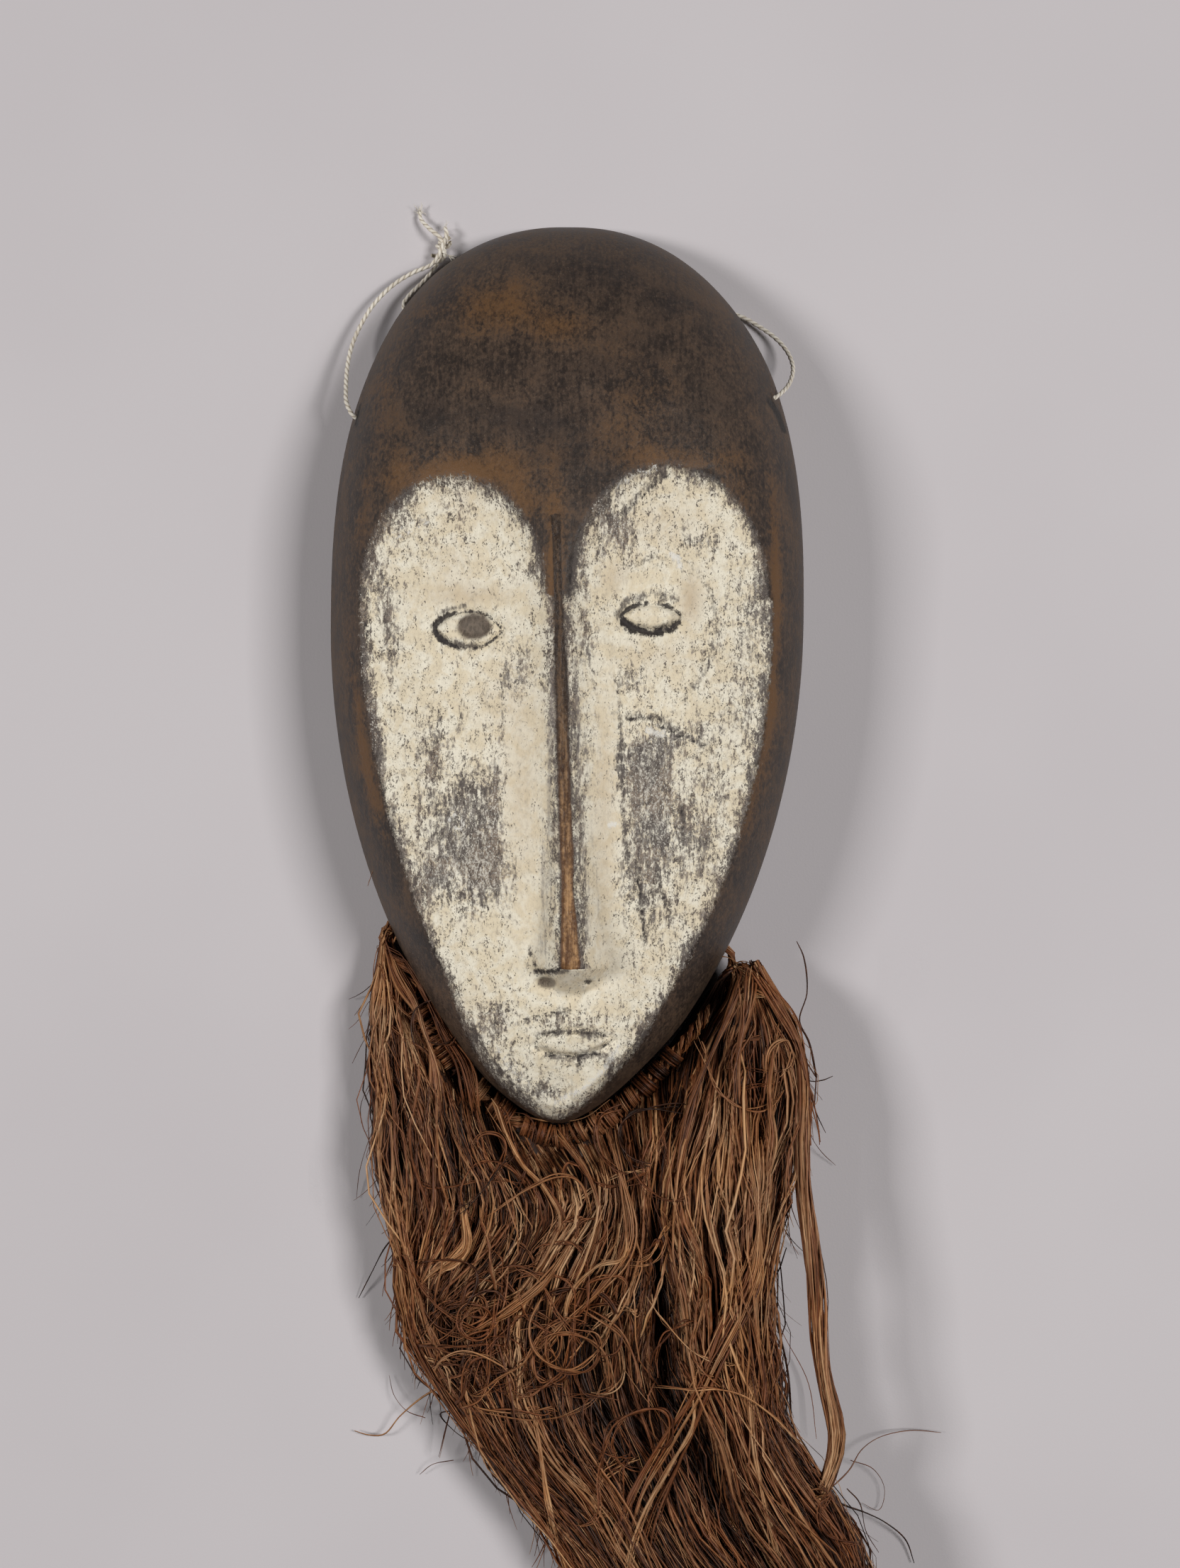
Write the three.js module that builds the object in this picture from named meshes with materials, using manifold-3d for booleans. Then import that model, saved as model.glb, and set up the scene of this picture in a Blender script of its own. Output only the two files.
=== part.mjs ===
// Lega mask with a raffia beard, lying on its back.
// Millimetres. +X is the viewer's right, +Y runs from the chin to the crown,
// +Z points up, out of the face.
import * as THREE from 'three';
import { mergeVertices } from 'three/addons/utils/BufferGeometryUtils.js';
import Module from 'manifold-3d';

const wasm = await Module();
wasm.setup();

// Outline of the mask on the surface it lies on: two superellipse halves
const CROWN_Y = 109;
const WIDEST_Y = 11.75;
const CHIN_Y = -111;
const HALF_WIDTH = 58.1;
const UPPER_OUTLINE = { power: 2.62, root: 0.465 };
const LOWER_OUTLINE = { power: 1.985, root: 0.663 };

// The axis of the carving leans a little, and both ends swing to the left
const AXIS_LEAN = 0.01;
const CROWN_SWING = { from: 70, to: 100, shift: -0.9 };
const CHIN_SWING = { from: -85, to: -100, shift: -1.0 };

// Dome: its height along the axis and the roundness of its cross-section
const DOME_HEIGHT = 48;
const DOME_TOP_Y = 16;
const CROWN_PROFILE = { power: 2.3, root: 0.5 };
const CHIN_PROFILE = { power: 3, root: 0.33 };
const SECTION_POWER = 3;
const SECTION_ROOT = 0.445;
const CROWN_ROUNDING = { from: 30, to: 100, less: 0.5 };

// Heart-shaped face: two lobes cut into the dome, one on each side of the nose
const LOBE_Y = 15.5;
const LEFT_LOBE = { x: -26.5, halfWidth: 22.05, height: 27.6 };
const RIGHT_LOBE = { x: 23.9, halfWidth: 23.7, height: 29.8 };
const FACE_HALF_WIDTH = 48.6;
const FACE_TOP_Y = 12;
const FACE_CHIN_Y = -104.6;
const LEFT_CHEEK = { power: 1.6, root: 0.62 };
const RIGHT_CHEEK = { power: 2.1, root: 0.8 };
const FACE_DEPTH = { brow: 6.5, chin: 4.2, from: -20, to: -90 };
const FACE_FALL = 6;
const FACE_INNER_EDGE = 2.4;

// Nose: a straight wedge that widens towards its tip
const NOSE_TOP = { x: -2.0, y: 28, z: 47.4, halfCrest: 1.1, slope: 2.3 };
const NOSE_TIP = { x: 1.2, y: -70.5, z: 47.6, halfCrest: 2.8, slope: 1.45 };
const NOSE_BASE_SLOPE = 1.6;
const NOSE_BLEND = 1.2;
const NOSTRIL_Y = -74.2;
const NOSTRILS = [
  { x: -4.2, halfWidth: 2.2, halfHeight: 1.6, depth: 1.5 },
  { x: 4.9, halfWidth: 1.1, halfHeight: 0.8, depth: 2.0 },
];

// Eyes and mouth: raised almonds, each in a groove
const ALMOND_RISE = 0.9;
const ALMOND_ROUNDING = 0.6;
const ALMOND_POWER = 2.4;
const GROOVE_WIDTH = 0.9;
const GROOVE_DEPTH = 0.8;
const LEFT_EYE = { x: -22.6, y: 7.8, halfLength: 7.6, halfHeight: 3.8, turn: -0.04 };
const RIGHT_EYE = { x: 19.9, y: 10.8, halfLength: 6.5, halfHeight: 2.6, turn: 0.0 };
const MOUTH = { x: 1.7, y: -88.7, halfLength: 8.5, halfHeight: 2.6, turn: 0.06 };
const EYE_PIT = { x: -21.2, y: 8.4, halfWidth: 4.1, halfHeight: 2.7, depth: 1.2 };
const SOCKET = { depth: 1.2, spread: 9 };
const MUZZLE = { x: 1.7, y: -87, rise: 1.6, spread: 9 };

// Hollow back and its rim, with the crown's rim cut back where the string passes
const WALL = 6;
const HOLLOW_DEPTH = 36;
const RIM_RELIEF = { from: 74, to: 86, height: 2.6 };
const CUT = 5;

// Grid of the carved dome
const ROWS = 52;
const SIDE_COLUMNS = 17;
const HOLLOW_ROWS = 20;
const HOLLOW_COLUMNS = 16;

// Hanging string, a cotton twine tied into one loop through both side holes
const STRING_DIAMETER = 1.1;
const STRING_SIDES = 8;
const STRING_STEP = 4.4;
const STRING_HOLE_RADIUS = 2.0;
const LEFT_HOLE = { inside: [-40, 60, 12.5], mouth: [-50.6, 60, 16] };
const RIGHT_HOLE = { inside: [39.5, 63.8, 14.5], mouth: [49.9, 64.3, 18] };
const STRING_TO_KNOT = [
  [-44.6, 60.0, 14.0],
  [-47.6, 60.0, 15.2],
  [-50.9, 60.4, 16.1],
  [-53.0, 63.6, 14.8],
  [-53.6, 68.6, 11.4],
  [-53.4, 75.0, 8.0],
  [-52.2, 80.6, 6.0],
  [-49.2, 87.0, 4.9],
  [-46.4, 91.0, 4.2],
  [-42.1, 95.1, 3.7],
  [-37.5, 97.9, 3.4],
  [-33.4, 99.7, 3.2],
];
const STRING_FROM_KNOT = [
  [-33.3, 98.5, 1.1],
  [-35.9, 95.6, 0.9],
  [-38.8, 92.8, 0.75],
  [-40.4, 90.2, 0.65],
  [-39.0, 88.2, 0.65],
  [-35.0, 87.2, 0.65],
  [-20.0, 87.6, 0.65],
  [0.0, 88.6, 0.65],
  [22.0, 88.8, 0.65],
  [41.3, 87.9, 0.85],
  [46.9, 85.0, 2.0],
  [51.7, 81.2, 3.6],
  [54.4, 77.2, 6.0],
  [55.2, 73.4, 8.8],
  [54.3, 69.6, 12.2],
  [52.0, 66.4, 16.0],
  [49.6, 64.6, 17.8],
  [46.4, 64.2, 16.9],
  [42.0, 64.0, 14.6],
  [37.0, 64.0, 9.4],
  [32.4, 64.2, 3.4],
  [28.6, 64.4, 1.3],
  [24.0, 64.4, 0.7],
  [10.0, 63.6, 0.65],
  [-10.0, 61.6, 0.65],
  [-25.0, 60.4, 0.7],
  [-29.6, 60.2, 1.4],
  [-33.6, 60.1, 4.0],
  [-38.6, 60.0, 9.2],
  [-42.2, 60.0, 12.6],
  [-44.1, 60.0, 13.75],
];
const KNOT_TURNS = [
  { at: [-31.2, 101.5, 2.2], radii: [1.9, 1.6, 2.1] },
  { at: [-30.2, 103.7, 2.3], radii: [1.9, 1.9, 2.2] },
  { at: [-29.8, 106.2, 2.0], radii: [1.6, 1.9, 1.8] },
];
const KNOT_TAILS = [
  [[-30.4, 105.6, 2.4], [-32.2, 107.6, 2.8], [-34.6, 109.8, 2.4], [-36.4, 111.6, 1.6]],
  [[-29.8, 106.2, 2.2], [-29.7, 108.0, 2.8], [-30.1, 109.6, 3.0]],
];
const TAIL_STEP = 1.8;

// Beard cord, held along the jaw, with a knot inside the hollow at each end
const JAW_CORD_RADIUS = 1.3;
const JAW_CORD_SIDES = 7;
const JAW_CORD_Z = 5;
const JAW_CORD_OFFSET = 1.7;
const JAW_CORD_BEND = [
  { down: 0, offset: -4 },
  { down: 0, offset: 0.2 },
  { down: 1.4, offset: 2.1 },
];
const JAW_CORD_POINTS = 26;
const JAW_CORD_STEPS = 48;
const JAW_HOLE_RADIUS = 2.0;
const JAW_KNOT_RADIUS = 2.6;
const JAW_HOLE_Y = { left: -62.5, right: -68.5 };
const JAW_HOLE_REACH = 12;

// Beard: hanks side by side between a left and a right edge, each edge x at a y
const BEARD_CLEARANCE = 3.8;
const HANK_GAP = 0.4;
const HANK_COUNT = 9;
const BEARD_TOP_Y = -65;
const BEARD_END_Y = -276;
const BEARD_LEFT_EDGE = [
  [-46.8, -62], [-49.0, -92], [-48.4, -117], [-44.4, -145], [-34.8, -173],
  [-13.5, -201], [5.3, -227], [34.8, -267], [44.0, -280],
];
const BEARD_RIGHT_EDGE = [
  [38.0, -66], [44.4, -76.6], [49.3, -86.2], [53.2, -104], [53.1, -131], [50.6, -146],
  [54.0, -176.6], [58.0, -202], [67.0, -223.6], [81.8, -253], [91.0, -280],
];
const STRAND_LEFT_EDGE = [
  [46.0, -77.0], [50.2, -86.2], [54.0, -104], [54.0, -127], [56.8, -146], [60.0, -163],
  [61.4, -178], [62.2, -188], [60.6, -198], [63.6, -214], [76.0, -238], [86.0, -262],
];
const STRAND_RIGHT_EDGE = [
  [47.2, -75.7], [55.0, -87.0], [59.4, -101], [60.2, -127], [63.6, -146], [64.8, -157],
  [66.2, -178], [68.2, -190], [67.0, -201], [71.6, -215], [86.0, -240], [95.0, -262],
];
const STRAND_TOP_Y = -77;
const STRAND_END_Y = -262;
const HANK_STATIONS = 17;
const HANK_TOP_SIDES = 7;
const HANK_THICKNESS = { top: 14, middle: 22, end: 15 };
const STRAND_THICKNESS = 10;
const HANK_TIP = 0.4;
const SWAY = { size: 3.2, length: 95, from: -112 };
const LENGTH_STAGGER = 9;

// Colours
const WOOD = { color: 0x54443a, roughness: 0.62 };
const COTTON = { color: 0xcfc3ae, roughness: 0.9 };
const RAFFIA = { color: 0x74482a, roughness: 0.8 };

// Small helpers
const clamp = (v, lo, hi) => Math.min(hi, Math.max(lo, v));
const mix = (a, b, t) => a + (b - a) * t;
function ease(from, to, v) {
  const t = clamp((v - from) / (to - from), 0, 1);
  return t * t * (3 - 2 * t);
}
const arc = (u, shape) => Math.pow(Math.max(0, 1 - Math.pow(u, shape.power)), shape.root);

// Outline
function outlineHalf(y) {
  if (y >= WIDEST_Y) {
    return HALF_WIDTH * arc(clamp((y - WIDEST_Y) / (CROWN_Y - WIDEST_Y), 0, 1), UPPER_OUTLINE);
  }
  return HALF_WIDTH * arc(clamp((WIDEST_Y - y) / (WIDEST_Y - CHIN_Y), 0, 1), LOWER_OUTLINE);
}

function axisX(y) {
  const crown = CROWN_SWING.shift * ease(CROWN_SWING.from, CROWN_SWING.to, y);
  const chin = CHIN_SWING.shift * ease(CHIN_SWING.from, CHIN_SWING.to, y);
  return AXIS_LEAN * y + crown + chin;
}

// Dome
function domeHeight(y, top) {
  if (y >= DOME_TOP_Y) {
    return top * arc(clamp((y - DOME_TOP_Y) / (CROWN_Y - DOME_TOP_Y), 0, 1), CROWN_PROFILE);
  }
  return top * arc(clamp((DOME_TOP_Y - y) / (DOME_TOP_Y - CHIN_Y), 0, 1), CHIN_PROFILE);
}

function dome(x, y) {
  const half = outlineHalf(y);
  if (half < 1e-6) {
    return 0;
  }
  const r = clamp(Math.abs(x - axisX(y)) / half, 0, 1);
  const less = CROWN_ROUNDING.less * ease(CROWN_ROUNDING.from, CROWN_ROUNDING.to, y);
  return domeHeight(y, DOME_HEIGHT) * arc(r, { power: SECTION_POWER - less, root: SECTION_ROOT });
}

// Face
function noseAt(y) {
  const t = (NOSE_TOP.y - y) / (NOSE_TOP.y - NOSE_TIP.y);
  const s = clamp(t, 0, 1);
  return {
    x: mix(NOSE_TOP.x, NOSE_TIP.x, clamp(t, -0.2, 1.1)),
    z: mix(NOSE_TOP.z, NOSE_TIP.z, s),
    halfCrest: mix(NOSE_TOP.halfCrest, NOSE_TIP.halfCrest, s),
    slope: mix(NOSE_TOP.slope, NOSE_TIP.slope, s),
  };
}

function faceHalf(y, cheek) {
  const u = clamp((FACE_TOP_Y - y) / (FACE_TOP_Y - FACE_CHIN_Y), 0, 1);
  return FACE_HALF_WIDTH * arc(u, cheek);
}

function insideFace(x, y) {
  const nose = noseAt(y);
  const isLeft = x < nose.x;
  const lobe = isLeft ? LEFT_LOBE : RIGHT_LOBE;
  if (y >= LOBE_Y) {
    const rho = Math.hypot((x - lobe.x) / lobe.halfWidth, (y - LOBE_Y) / lobe.height);
    return (1 - rho) * lobe.halfWidth;
  }
  const cheek = isLeft ? LEFT_CHEEK : RIGHT_CHEEK;
  const half = faceHalf(y, cheek);
  const slant = (faceHalf(y + 1, cheek) - faceHalf(y - 1, cheek)) / 2;
  const outer = (half - Math.abs(x - axisX(y))) / Math.hypot(1, slant);
  const nearNose = ease(NOSE_TIP.y - 4, NOSE_TIP.y + 4, y);
  const inner = Math.abs(x - nose.x) - FACE_INNER_EDGE;
  return Math.min(outer, mix(outer, inner, nearNose));
}

function bump(x, y, at, spread) {
  const d2 = (x - at.x) ** 2 + (y - at.y) ** 2;
  return Math.exp(-d2 / (2 * spread * spread));
}

function faceFloor(x, y) {
  const inside = insideFace(x, y);
  let z = dome(x, y);
  if (inside > 0) {
    const depth = mix(FACE_DEPTH.brow, FACE_DEPTH.chin, ease(FACE_DEPTH.from, FACE_DEPTH.to, y));
    const fall = 1 - Math.exp(-inside / FACE_FALL);
    z -= depth * fall;
    z -= SOCKET.depth * fall * bump(x, y, LEFT_EYE, SOCKET.spread);
    z -= SOCKET.depth * fall * bump(x, y, RIGHT_EYE, SOCKET.spread);
    z += MUZZLE.rise * fall * bump(x, y, MUZZLE, MUZZLE.spread);
  }
  return z;
}

function noseRoof(x, y) {
  const nose = noseAt(y);
  const aside = Math.max(0, Math.abs(x - nose.x) - nose.halfCrest);
  const above = Math.max(0, y - NOSE_TOP.y);
  const below = Math.max(0, NOSE_TIP.y - y);
  return nose.z - nose.slope * aside - above - NOSE_BASE_SLOPE * below;
}

function carving(x, y) {
  const ground = faceFloor(x, y);
  const roof = noseRoof(x, y);
  const gap = clamp(0.5 + (roof - ground) / (2 * NOSE_BLEND), 0, 1);
  return mix(ground, roof, gap) + NOSE_BLEND * gap * (1 - gap);
}

// Solids from triangles, and joins and cuts of solids
function geometryFrom(positions, indices) {
  const geometry = new THREE.BufferGeometry();
  geometry.setAttribute('position', new THREE.Float32BufferAttribute(positions, 3));
  geometry.setIndex(indices);
  return geometry;
}

function toSolid(source) {
  const geometry = source.clone();
  geometry.deleteAttribute('normal');
  geometry.deleteAttribute('uv');
  const merged = mergeVertices(geometry, 1e-4);
  return new wasm.Manifold(new wasm.Mesh({
    numProp: 3,
    vertProperties: new Float32Array(merged.attributes.position.array),
    triVerts: new Uint32Array(merged.index.array),
  }));
}

function toGeometry(solid) {
  const mesh = solid.getMesh();
  return geometryFrom(Array.from(mesh.vertProperties), Array.from(mesh.triVerts));
}

// A closed solid over rows of points; each row starts and ends on the base line,
// and the first and the last row have shrunk to a point. A skirt goes below that line
function solidFromRows(rows, skirtZ) {
  const positions = [];
  const indices = [];
  const width = rows[0].length;
  for (const row of rows) {
    for (const p of row) {
      positions.push(p[0], p[1], p[2]);
    }
  }
  const id = (j, i) => j * width + i;
  const face = (a, b, c) => {
    const same = (p, q) => [0, 1, 2].every((k) => Math.abs(positions[3 * p + k] - positions[3 * q + k]) < 1e-5);
    if (!same(a, b) && !same(b, c) && !same(a, c)) {
      indices.push(a, b, c);
    }
  };
  for (let j = 0; j < rows.length - 1; j++) {
    for (let i = 0; i < width - 1; i++) {
      face(id(j, i), id(j, i + 1), id(j + 1, i + 1));
      face(id(j, i), id(j + 1, i + 1), id(j + 1, i));
    }
  }
  const lower = (p) => {
    positions.push(positions[3 * p], positions[3 * p + 1], skirtZ);
    return positions.length / 3 - 1;
  };
  const edges = rows.map((row, j) => [id(j, 0), id(j, width - 1)]);
  const rim = skirtZ < 0 ? edges.map((pair) => pair.map(lower)) : edges;
  for (let j = 0; j < rows.length - 1; j++) {
    const [left, right] = rim[j];
    const [nextLeft, nextRight] = rim[j + 1];
    if (skirtZ < 0) {
      face(edges[j][0], edges[j + 1][0], nextLeft);
      face(edges[j][0], nextLeft, left);
      face(edges[j + 1][1], edges[j][1], right);
      face(edges[j + 1][1], right, nextRight);
    }
    face(left, nextLeft, nextRight);
    face(left, nextRight, right);
  }
  return toSolid(geometryFrom(positions, indices));
}

// Rows are closer together near the crown and the chin
function rowY(j, rows, chin, crown) {
  return mix(chin, crown, (1 - Math.cos(Math.PI * j / rows)) / 2);
}

// Columns follow the nose: crest, flank and foot, then even steps of the sine to the rim
function domeRow(y) {
  const half = outlineHalf(y);
  const axis = axisX(y);
  const nose = noseAt(y);
  const shrink = clamp(half / 24, 0, 1);
  const middle = mix(axis, nose.x, shrink);
  const row = [];
  for (const side of [-1, 1]) {
    const rim = half + side * (axis - middle);
    const foot = (nose.halfCrest + 6) * shrink;
    const offsets = [nose.halfCrest * shrink, mix(nose.halfCrest * shrink, foot, 0.5), foot];
    for (let i = 1; i <= SIDE_COLUMNS - 3; i++) {
      offsets.push(foot + (rim - foot) * Math.sin(Math.PI * i / (2 * (SIDE_COLUMNS - 3))));
    }
    const points = offsets.map((d, i) => {
      const x = middle + side * d;
      return [x, y, i === offsets.length - 1 ? 0 : carving(x, y)];
    });
    if (side < 0) {
      row.push(...points.reverse(), [middle, y, carving(middle, y)]);
    } else {
      row.push(...points);
    }
  }
  return row;
}

function maskBody() {
  const rows = [];
  for (let j = 0; j <= ROWS; j++) {
    const y = rowY(j, ROWS, CHIN_Y, CROWN_Y);
    const isEnd = j === 0 || j === ROWS;
    rows.push(isEnd ? domeRow(y).map(() => [axisX(y), y, 0]) : domeRow(y));
  }
  return solidFromRows(rows, 0);
}

function hollow() {
  const rows = [];
  for (let j = 0; j <= HOLLOW_ROWS; j++) {
    const y = rowY(j, HOLLOW_ROWS, CHIN_Y + WALL, CROWN_Y - WALL);
    const u = (y - CHIN_Y - WALL) / (CROWN_Y - CHIN_Y - 2 * WALL);
    const outerY = mix(CHIN_Y, CROWN_Y, u);
    const half = Math.max(0, outlineHalf(outerY) * (1 - WALL / HALF_WIDTH));
    const height = domeHeight(outerY, HOLLOW_DEPTH);
    const row = [];
    for (let i = 0; i <= HOLLOW_COLUMNS; i++) {
      const r = Math.sin(Math.PI * (i / HOLLOW_COLUMNS - 0.5));
      const z = height * arc(Math.abs(r), { power: 2.6, root: SECTION_ROOT });
      row.push([axisX(outerY) + r * half, y, Math.abs(r) > 0.9999 ? 0 : z]);
    }
    rows.push(j === 0 || j === HOLLOW_ROWS ? row.map(() => [axisX(outerY), y, 0]) : row);
  }
  return solidFromRows(rows, -CUT);
}

function rimRelief() {
  const profile = new THREE.Shape([
    new THREE.Vector2(RIM_RELIEF.from, 0),
    new THREE.Vector2(RIM_RELIEF.from, -CUT),
    new THREE.Vector2(CROWN_Y + CUT, -CUT),
    new THREE.Vector2(CROWN_Y + CUT, RIM_RELIEF.height),
    new THREE.Vector2(RIM_RELIEF.to, RIM_RELIEF.height),
  ]);
  const width = 2 * HALF_WIDTH + 2 * CUT;
  const geometry = new THREE.ExtrudeGeometry(profile, { depth: width, bevelEnabled: false });
  const place = new THREE.Matrix4().makeBasis(
    new THREE.Vector3(0, 1, 0), new THREE.Vector3(0, 0, 1), new THREE.Vector3(1, 0, 0),
  );
  place.setPosition(-width / 2, 0, 0);
  return toSolid(geometry.applyMatrix4(place));
}

function drill(inside, outside, radius) {
  const a = new THREE.Vector3(...inside);
  const b = new THREE.Vector3(...outside);
  const beyond = b.clone().sub(a).normalize().multiplyScalar(CUT);
  const end = b.clone().add(beyond);
  const geometry = new THREE.CylinderGeometry(radius, radius, a.distanceTo(end), 12);
  const turn = new THREE.Quaternion().setFromUnitVectors(
    new THREE.Vector3(0, 1, 0), end.clone().sub(a).normalize(),
  );
  geometry.applyQuaternion(turn);
  const middle = a.clone().add(end).multiplyScalar(0.5);
  geometry.translate(middle.x, middle.y, middle.z);
  return toSolid(geometry);
}

// An almond seen from above, with rounded upper edge
function almond(eye, grow, fromZ, toZ, rounding) {
  const a = eye.halfLength + grow;
  const b = eye.halfHeight + grow;
  const points = [];
  const steps = 8;
  for (let side = 1; side >= -1; side -= 2) {
    for (let i = 0; i < steps; i++) {
      const t = side * (1 - 2 * i / steps);
      points.push(new THREE.Vector2(a * t, side * b * (1 - Math.pow(Math.abs(t), ALMOND_POWER))));
    }
  }
  const geometry = new THREE.ExtrudeGeometry(new THREE.Shape(points), {
    depth: toZ - fromZ - 2 * rounding,
    bevelEnabled: rounding > 0,
    bevelThickness: rounding,
    bevelSize: rounding,
    bevelOffset: -rounding,
    bevelSegments: 1,
  });
  geometry.rotateZ(eye.turn);
  geometry.translate(eye.x, eye.y, fromZ + rounding);
  return toSolid(geometry);
}

function pit(at, radii) {
  const geometry = new THREE.SphereGeometry(1, 12, 6);
  geometry.scale(...radii);
  geometry.translate(...at);
  return toSolid(geometry);
}

function woodenMask() {
  let solid = maskBody().subtract(hollow()).subtract(rimRelief());
  for (const eye of [LEFT_EYE, RIGHT_EYE, MOUTH]) {
    const z = carving(eye.x, eye.y);
    solid = solid.subtract(almond(eye, GROOVE_WIDTH, z - GROOVE_DEPTH, z + CUT, 0));
    solid = solid.add(almond(eye, 0, z - 3, z + ALMOND_RISE, ALMOND_ROUNDING));
  }
  const pitZ = carving(EYE_PIT.x, EYE_PIT.y) + ALMOND_RISE;
  solid = solid.subtract(pit(
    [EYE_PIT.x, EYE_PIT.y, pitZ], [EYE_PIT.halfWidth, EYE_PIT.halfHeight, EYE_PIT.depth],
  ));
  for (const nostril of NOSTRILS) {
    const z = carving(nostril.x, NOSTRIL_Y);
    solid = solid.subtract(pit(
      [nostril.x, NOSTRIL_Y, z], [nostril.halfWidth, nostril.halfHeight, nostril.depth],
    ));
  }
  for (const hole of [LEFT_HOLE, RIGHT_HOLE]) {
    solid = solid.subtract(drill(hole.inside, hole.mouth, STRING_HOLE_RADIUS));
  }
  for (const side of [-1, 1]) {
    const hole = jawHole(side);
    solid = solid.subtract(drill(hole.inside, hole.mouth, JAW_HOLE_RADIUS));
  }
  return toGeometry(solid);
}

// Tubes along a curve
function tubeGeometry(points, radius, sides, step) {
  const curve = new THREE.CatmullRomCurve3(points.map((p) => new THREE.Vector3(...p)), false, 'centripetal');
  const ring = [];
  for (let i = 0; i < sides; i++) {
    const angle = 2 * Math.PI * i / sides;
    ring.push(new THREE.Vector2(radius * Math.cos(angle), radius * Math.sin(angle)));
  }
  return new THREE.ExtrudeGeometry(new THREE.Shape(ring), {
    steps: Math.max(2, Math.round(curve.getLength() / step)),
    extrudePath: curve,
    bevelEnabled: false,
  });
}

function stringRun(points) {
  return tubeGeometry(points, STRING_DIAMETER / 2, STRING_SIDES, STRING_STEP);
}

function stringKnot() {
  let solid = null;
  for (const turn of KNOT_TURNS) {
    const geometry = new THREE.SphereGeometry(1, 10, 6);
    geometry.scale(...turn.radii);
    geometry.translate(...turn.at);
    solid = solid ? solid.add(toSolid(geometry)) : toSolid(geometry);
  }
  for (const tail of KNOT_TAILS) {
    solid = solid.add(toSolid(tubeGeometry(tail, STRING_DIAMETER / 2, STRING_SIDES, TAIL_STEP)));
  }
  return toGeometry(solid);
}

// Jaw line, measured along the outline, from the left hole round the chin to the right one
function jawPoint(side, y, offset) {
  const slant = outlineHalf(y + 0.5) - outlineHalf(y - 0.5);
  const normal = new THREE.Vector2(side, -slant).normalize();
  return [axisX(y) + side * outlineHalf(y) + normal.x * offset, y + normal.y * offset];
}

function jawHole(side) {
  const y = side < 0 ? JAW_HOLE_Y.left : JAW_HOLE_Y.right;
  const mouth = jawPoint(side, y, 0.5);
  const inside = jawPoint(side, y, -JAW_HOLE_REACH);
  return { inside: [...inside, JAW_CORD_Z], mouth: [...mouth, JAW_CORD_Z] };
}

function jawLine(offset) {
  const points = [];
  for (let i = 0; i <= JAW_CORD_POINTS; i++) {
    const t = 2 * i / JAW_CORD_POINTS - 1;
    const side = t < 0 ? -1 : 1;
    const holeY = side < 0 ? JAW_HOLE_Y.left : JAW_HOLE_Y.right;
    const y = mix(CHIN_Y, holeY, 1 - Math.cos(Math.PI * Math.abs(t) / 2));
    if (Math.abs(t) < 1e-9) {
      points.push([axisX(CHIN_Y), CHIN_Y - offset]);
    } else {
      points.push(jawPoint(side, y, offset));
    }
  }
  return points;
}

function beardCord() {
  const line = jawLine(JAW_CORD_OFFSET).slice(1, -1).map((p) => [...p, JAW_CORD_Z]);
  const ends = [-1, 1].map((side) => {
    const holeY = side < 0 ? JAW_HOLE_Y.left : JAW_HOLE_Y.right;
    const bend = JAW_CORD_BEND.map((b) => [...jawPoint(side, holeY - b.down, b.offset), JAW_CORD_Z]);
    return [jawHole(side).inside, ...bend];
  });
  const path = [...ends[0], ...line, ...ends[1].reverse()];
  const length = new THREE.CatmullRomCurve3(path.map((p) => new THREE.Vector3(...p))).getLength();
  let solid = toSolid(tubeGeometry(path, JAW_CORD_RADIUS, JAW_CORD_SIDES, length / JAW_CORD_STEPS));
  for (const side of [-1, 1]) {
    solid = solid.add(pit(jawHole(side).inside, [JAW_KNOT_RADIUS, JAW_KNOT_RADIUS, JAW_KNOT_RADIUS]));
  }
  return toGeometry(solid);
}

// The room that the mask and its cord take from the beard
function beardKeepOut() {
  const points = [];
  const steps = 40;
  for (const side of [-1, 1]) {
    for (let i = 0; i < steps; i++) {
      const t = side < 0 ? i / steps : 1 - i / steps;
      const y = mix(CHIN_Y, WIDEST_Y, 1 - Math.cos(Math.PI * t / 2));
      points.push(t === 0 ? [axisX(CHIN_Y), CHIN_Y - BEARD_CLEARANCE] : jawPoint(side, y, BEARD_CLEARANCE));
    }
  }
  const shape = new THREE.Shape(points.map((p) => new THREE.Vector2(...p)));
  const geometry = new THREE.ExtrudeGeometry(shape, { depth: DOME_HEIGHT, bevelEnabled: false });
  geometry.translate(0, 0, -CUT);
  return toSolid(geometry);
}

// A beard edge is a smooth line through a few points, read as x at a y
function edgeCurve(points) {
  const line = new THREE.SplineCurve(points.map((p) => new THREE.Vector2(...p))).getPoints(160);
  return (y) => {
    let k = 0;
    while (k < line.length - 2 && line[k + 1].y > y) {
      k++;
    }
    const t = (y - line[k].y) / (line[k + 1].y - line[k].y);
    return mix(line[k].x, line[k + 1].x, clamp(t, 0, 1));
  };
}

const beardLeft = edgeCurve(BEARD_LEFT_EDGE);
const beardRight = edgeCurve(BEARD_RIGHT_EDGE);
const strandLeft = edgeCurve(STRAND_LEFT_EDGE);
const strandRight = edgeCurve(STRAND_RIGHT_EDGE);

// Hanks aren't all as wide as each other
function hankShare(k) {
  const uneven = k > 0 && k < HANK_COUNT ? 0.28 * Math.sin(2.4 * k + 0.6) : 0;
  return (k + uneven) / HANK_COUNT;
}

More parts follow.
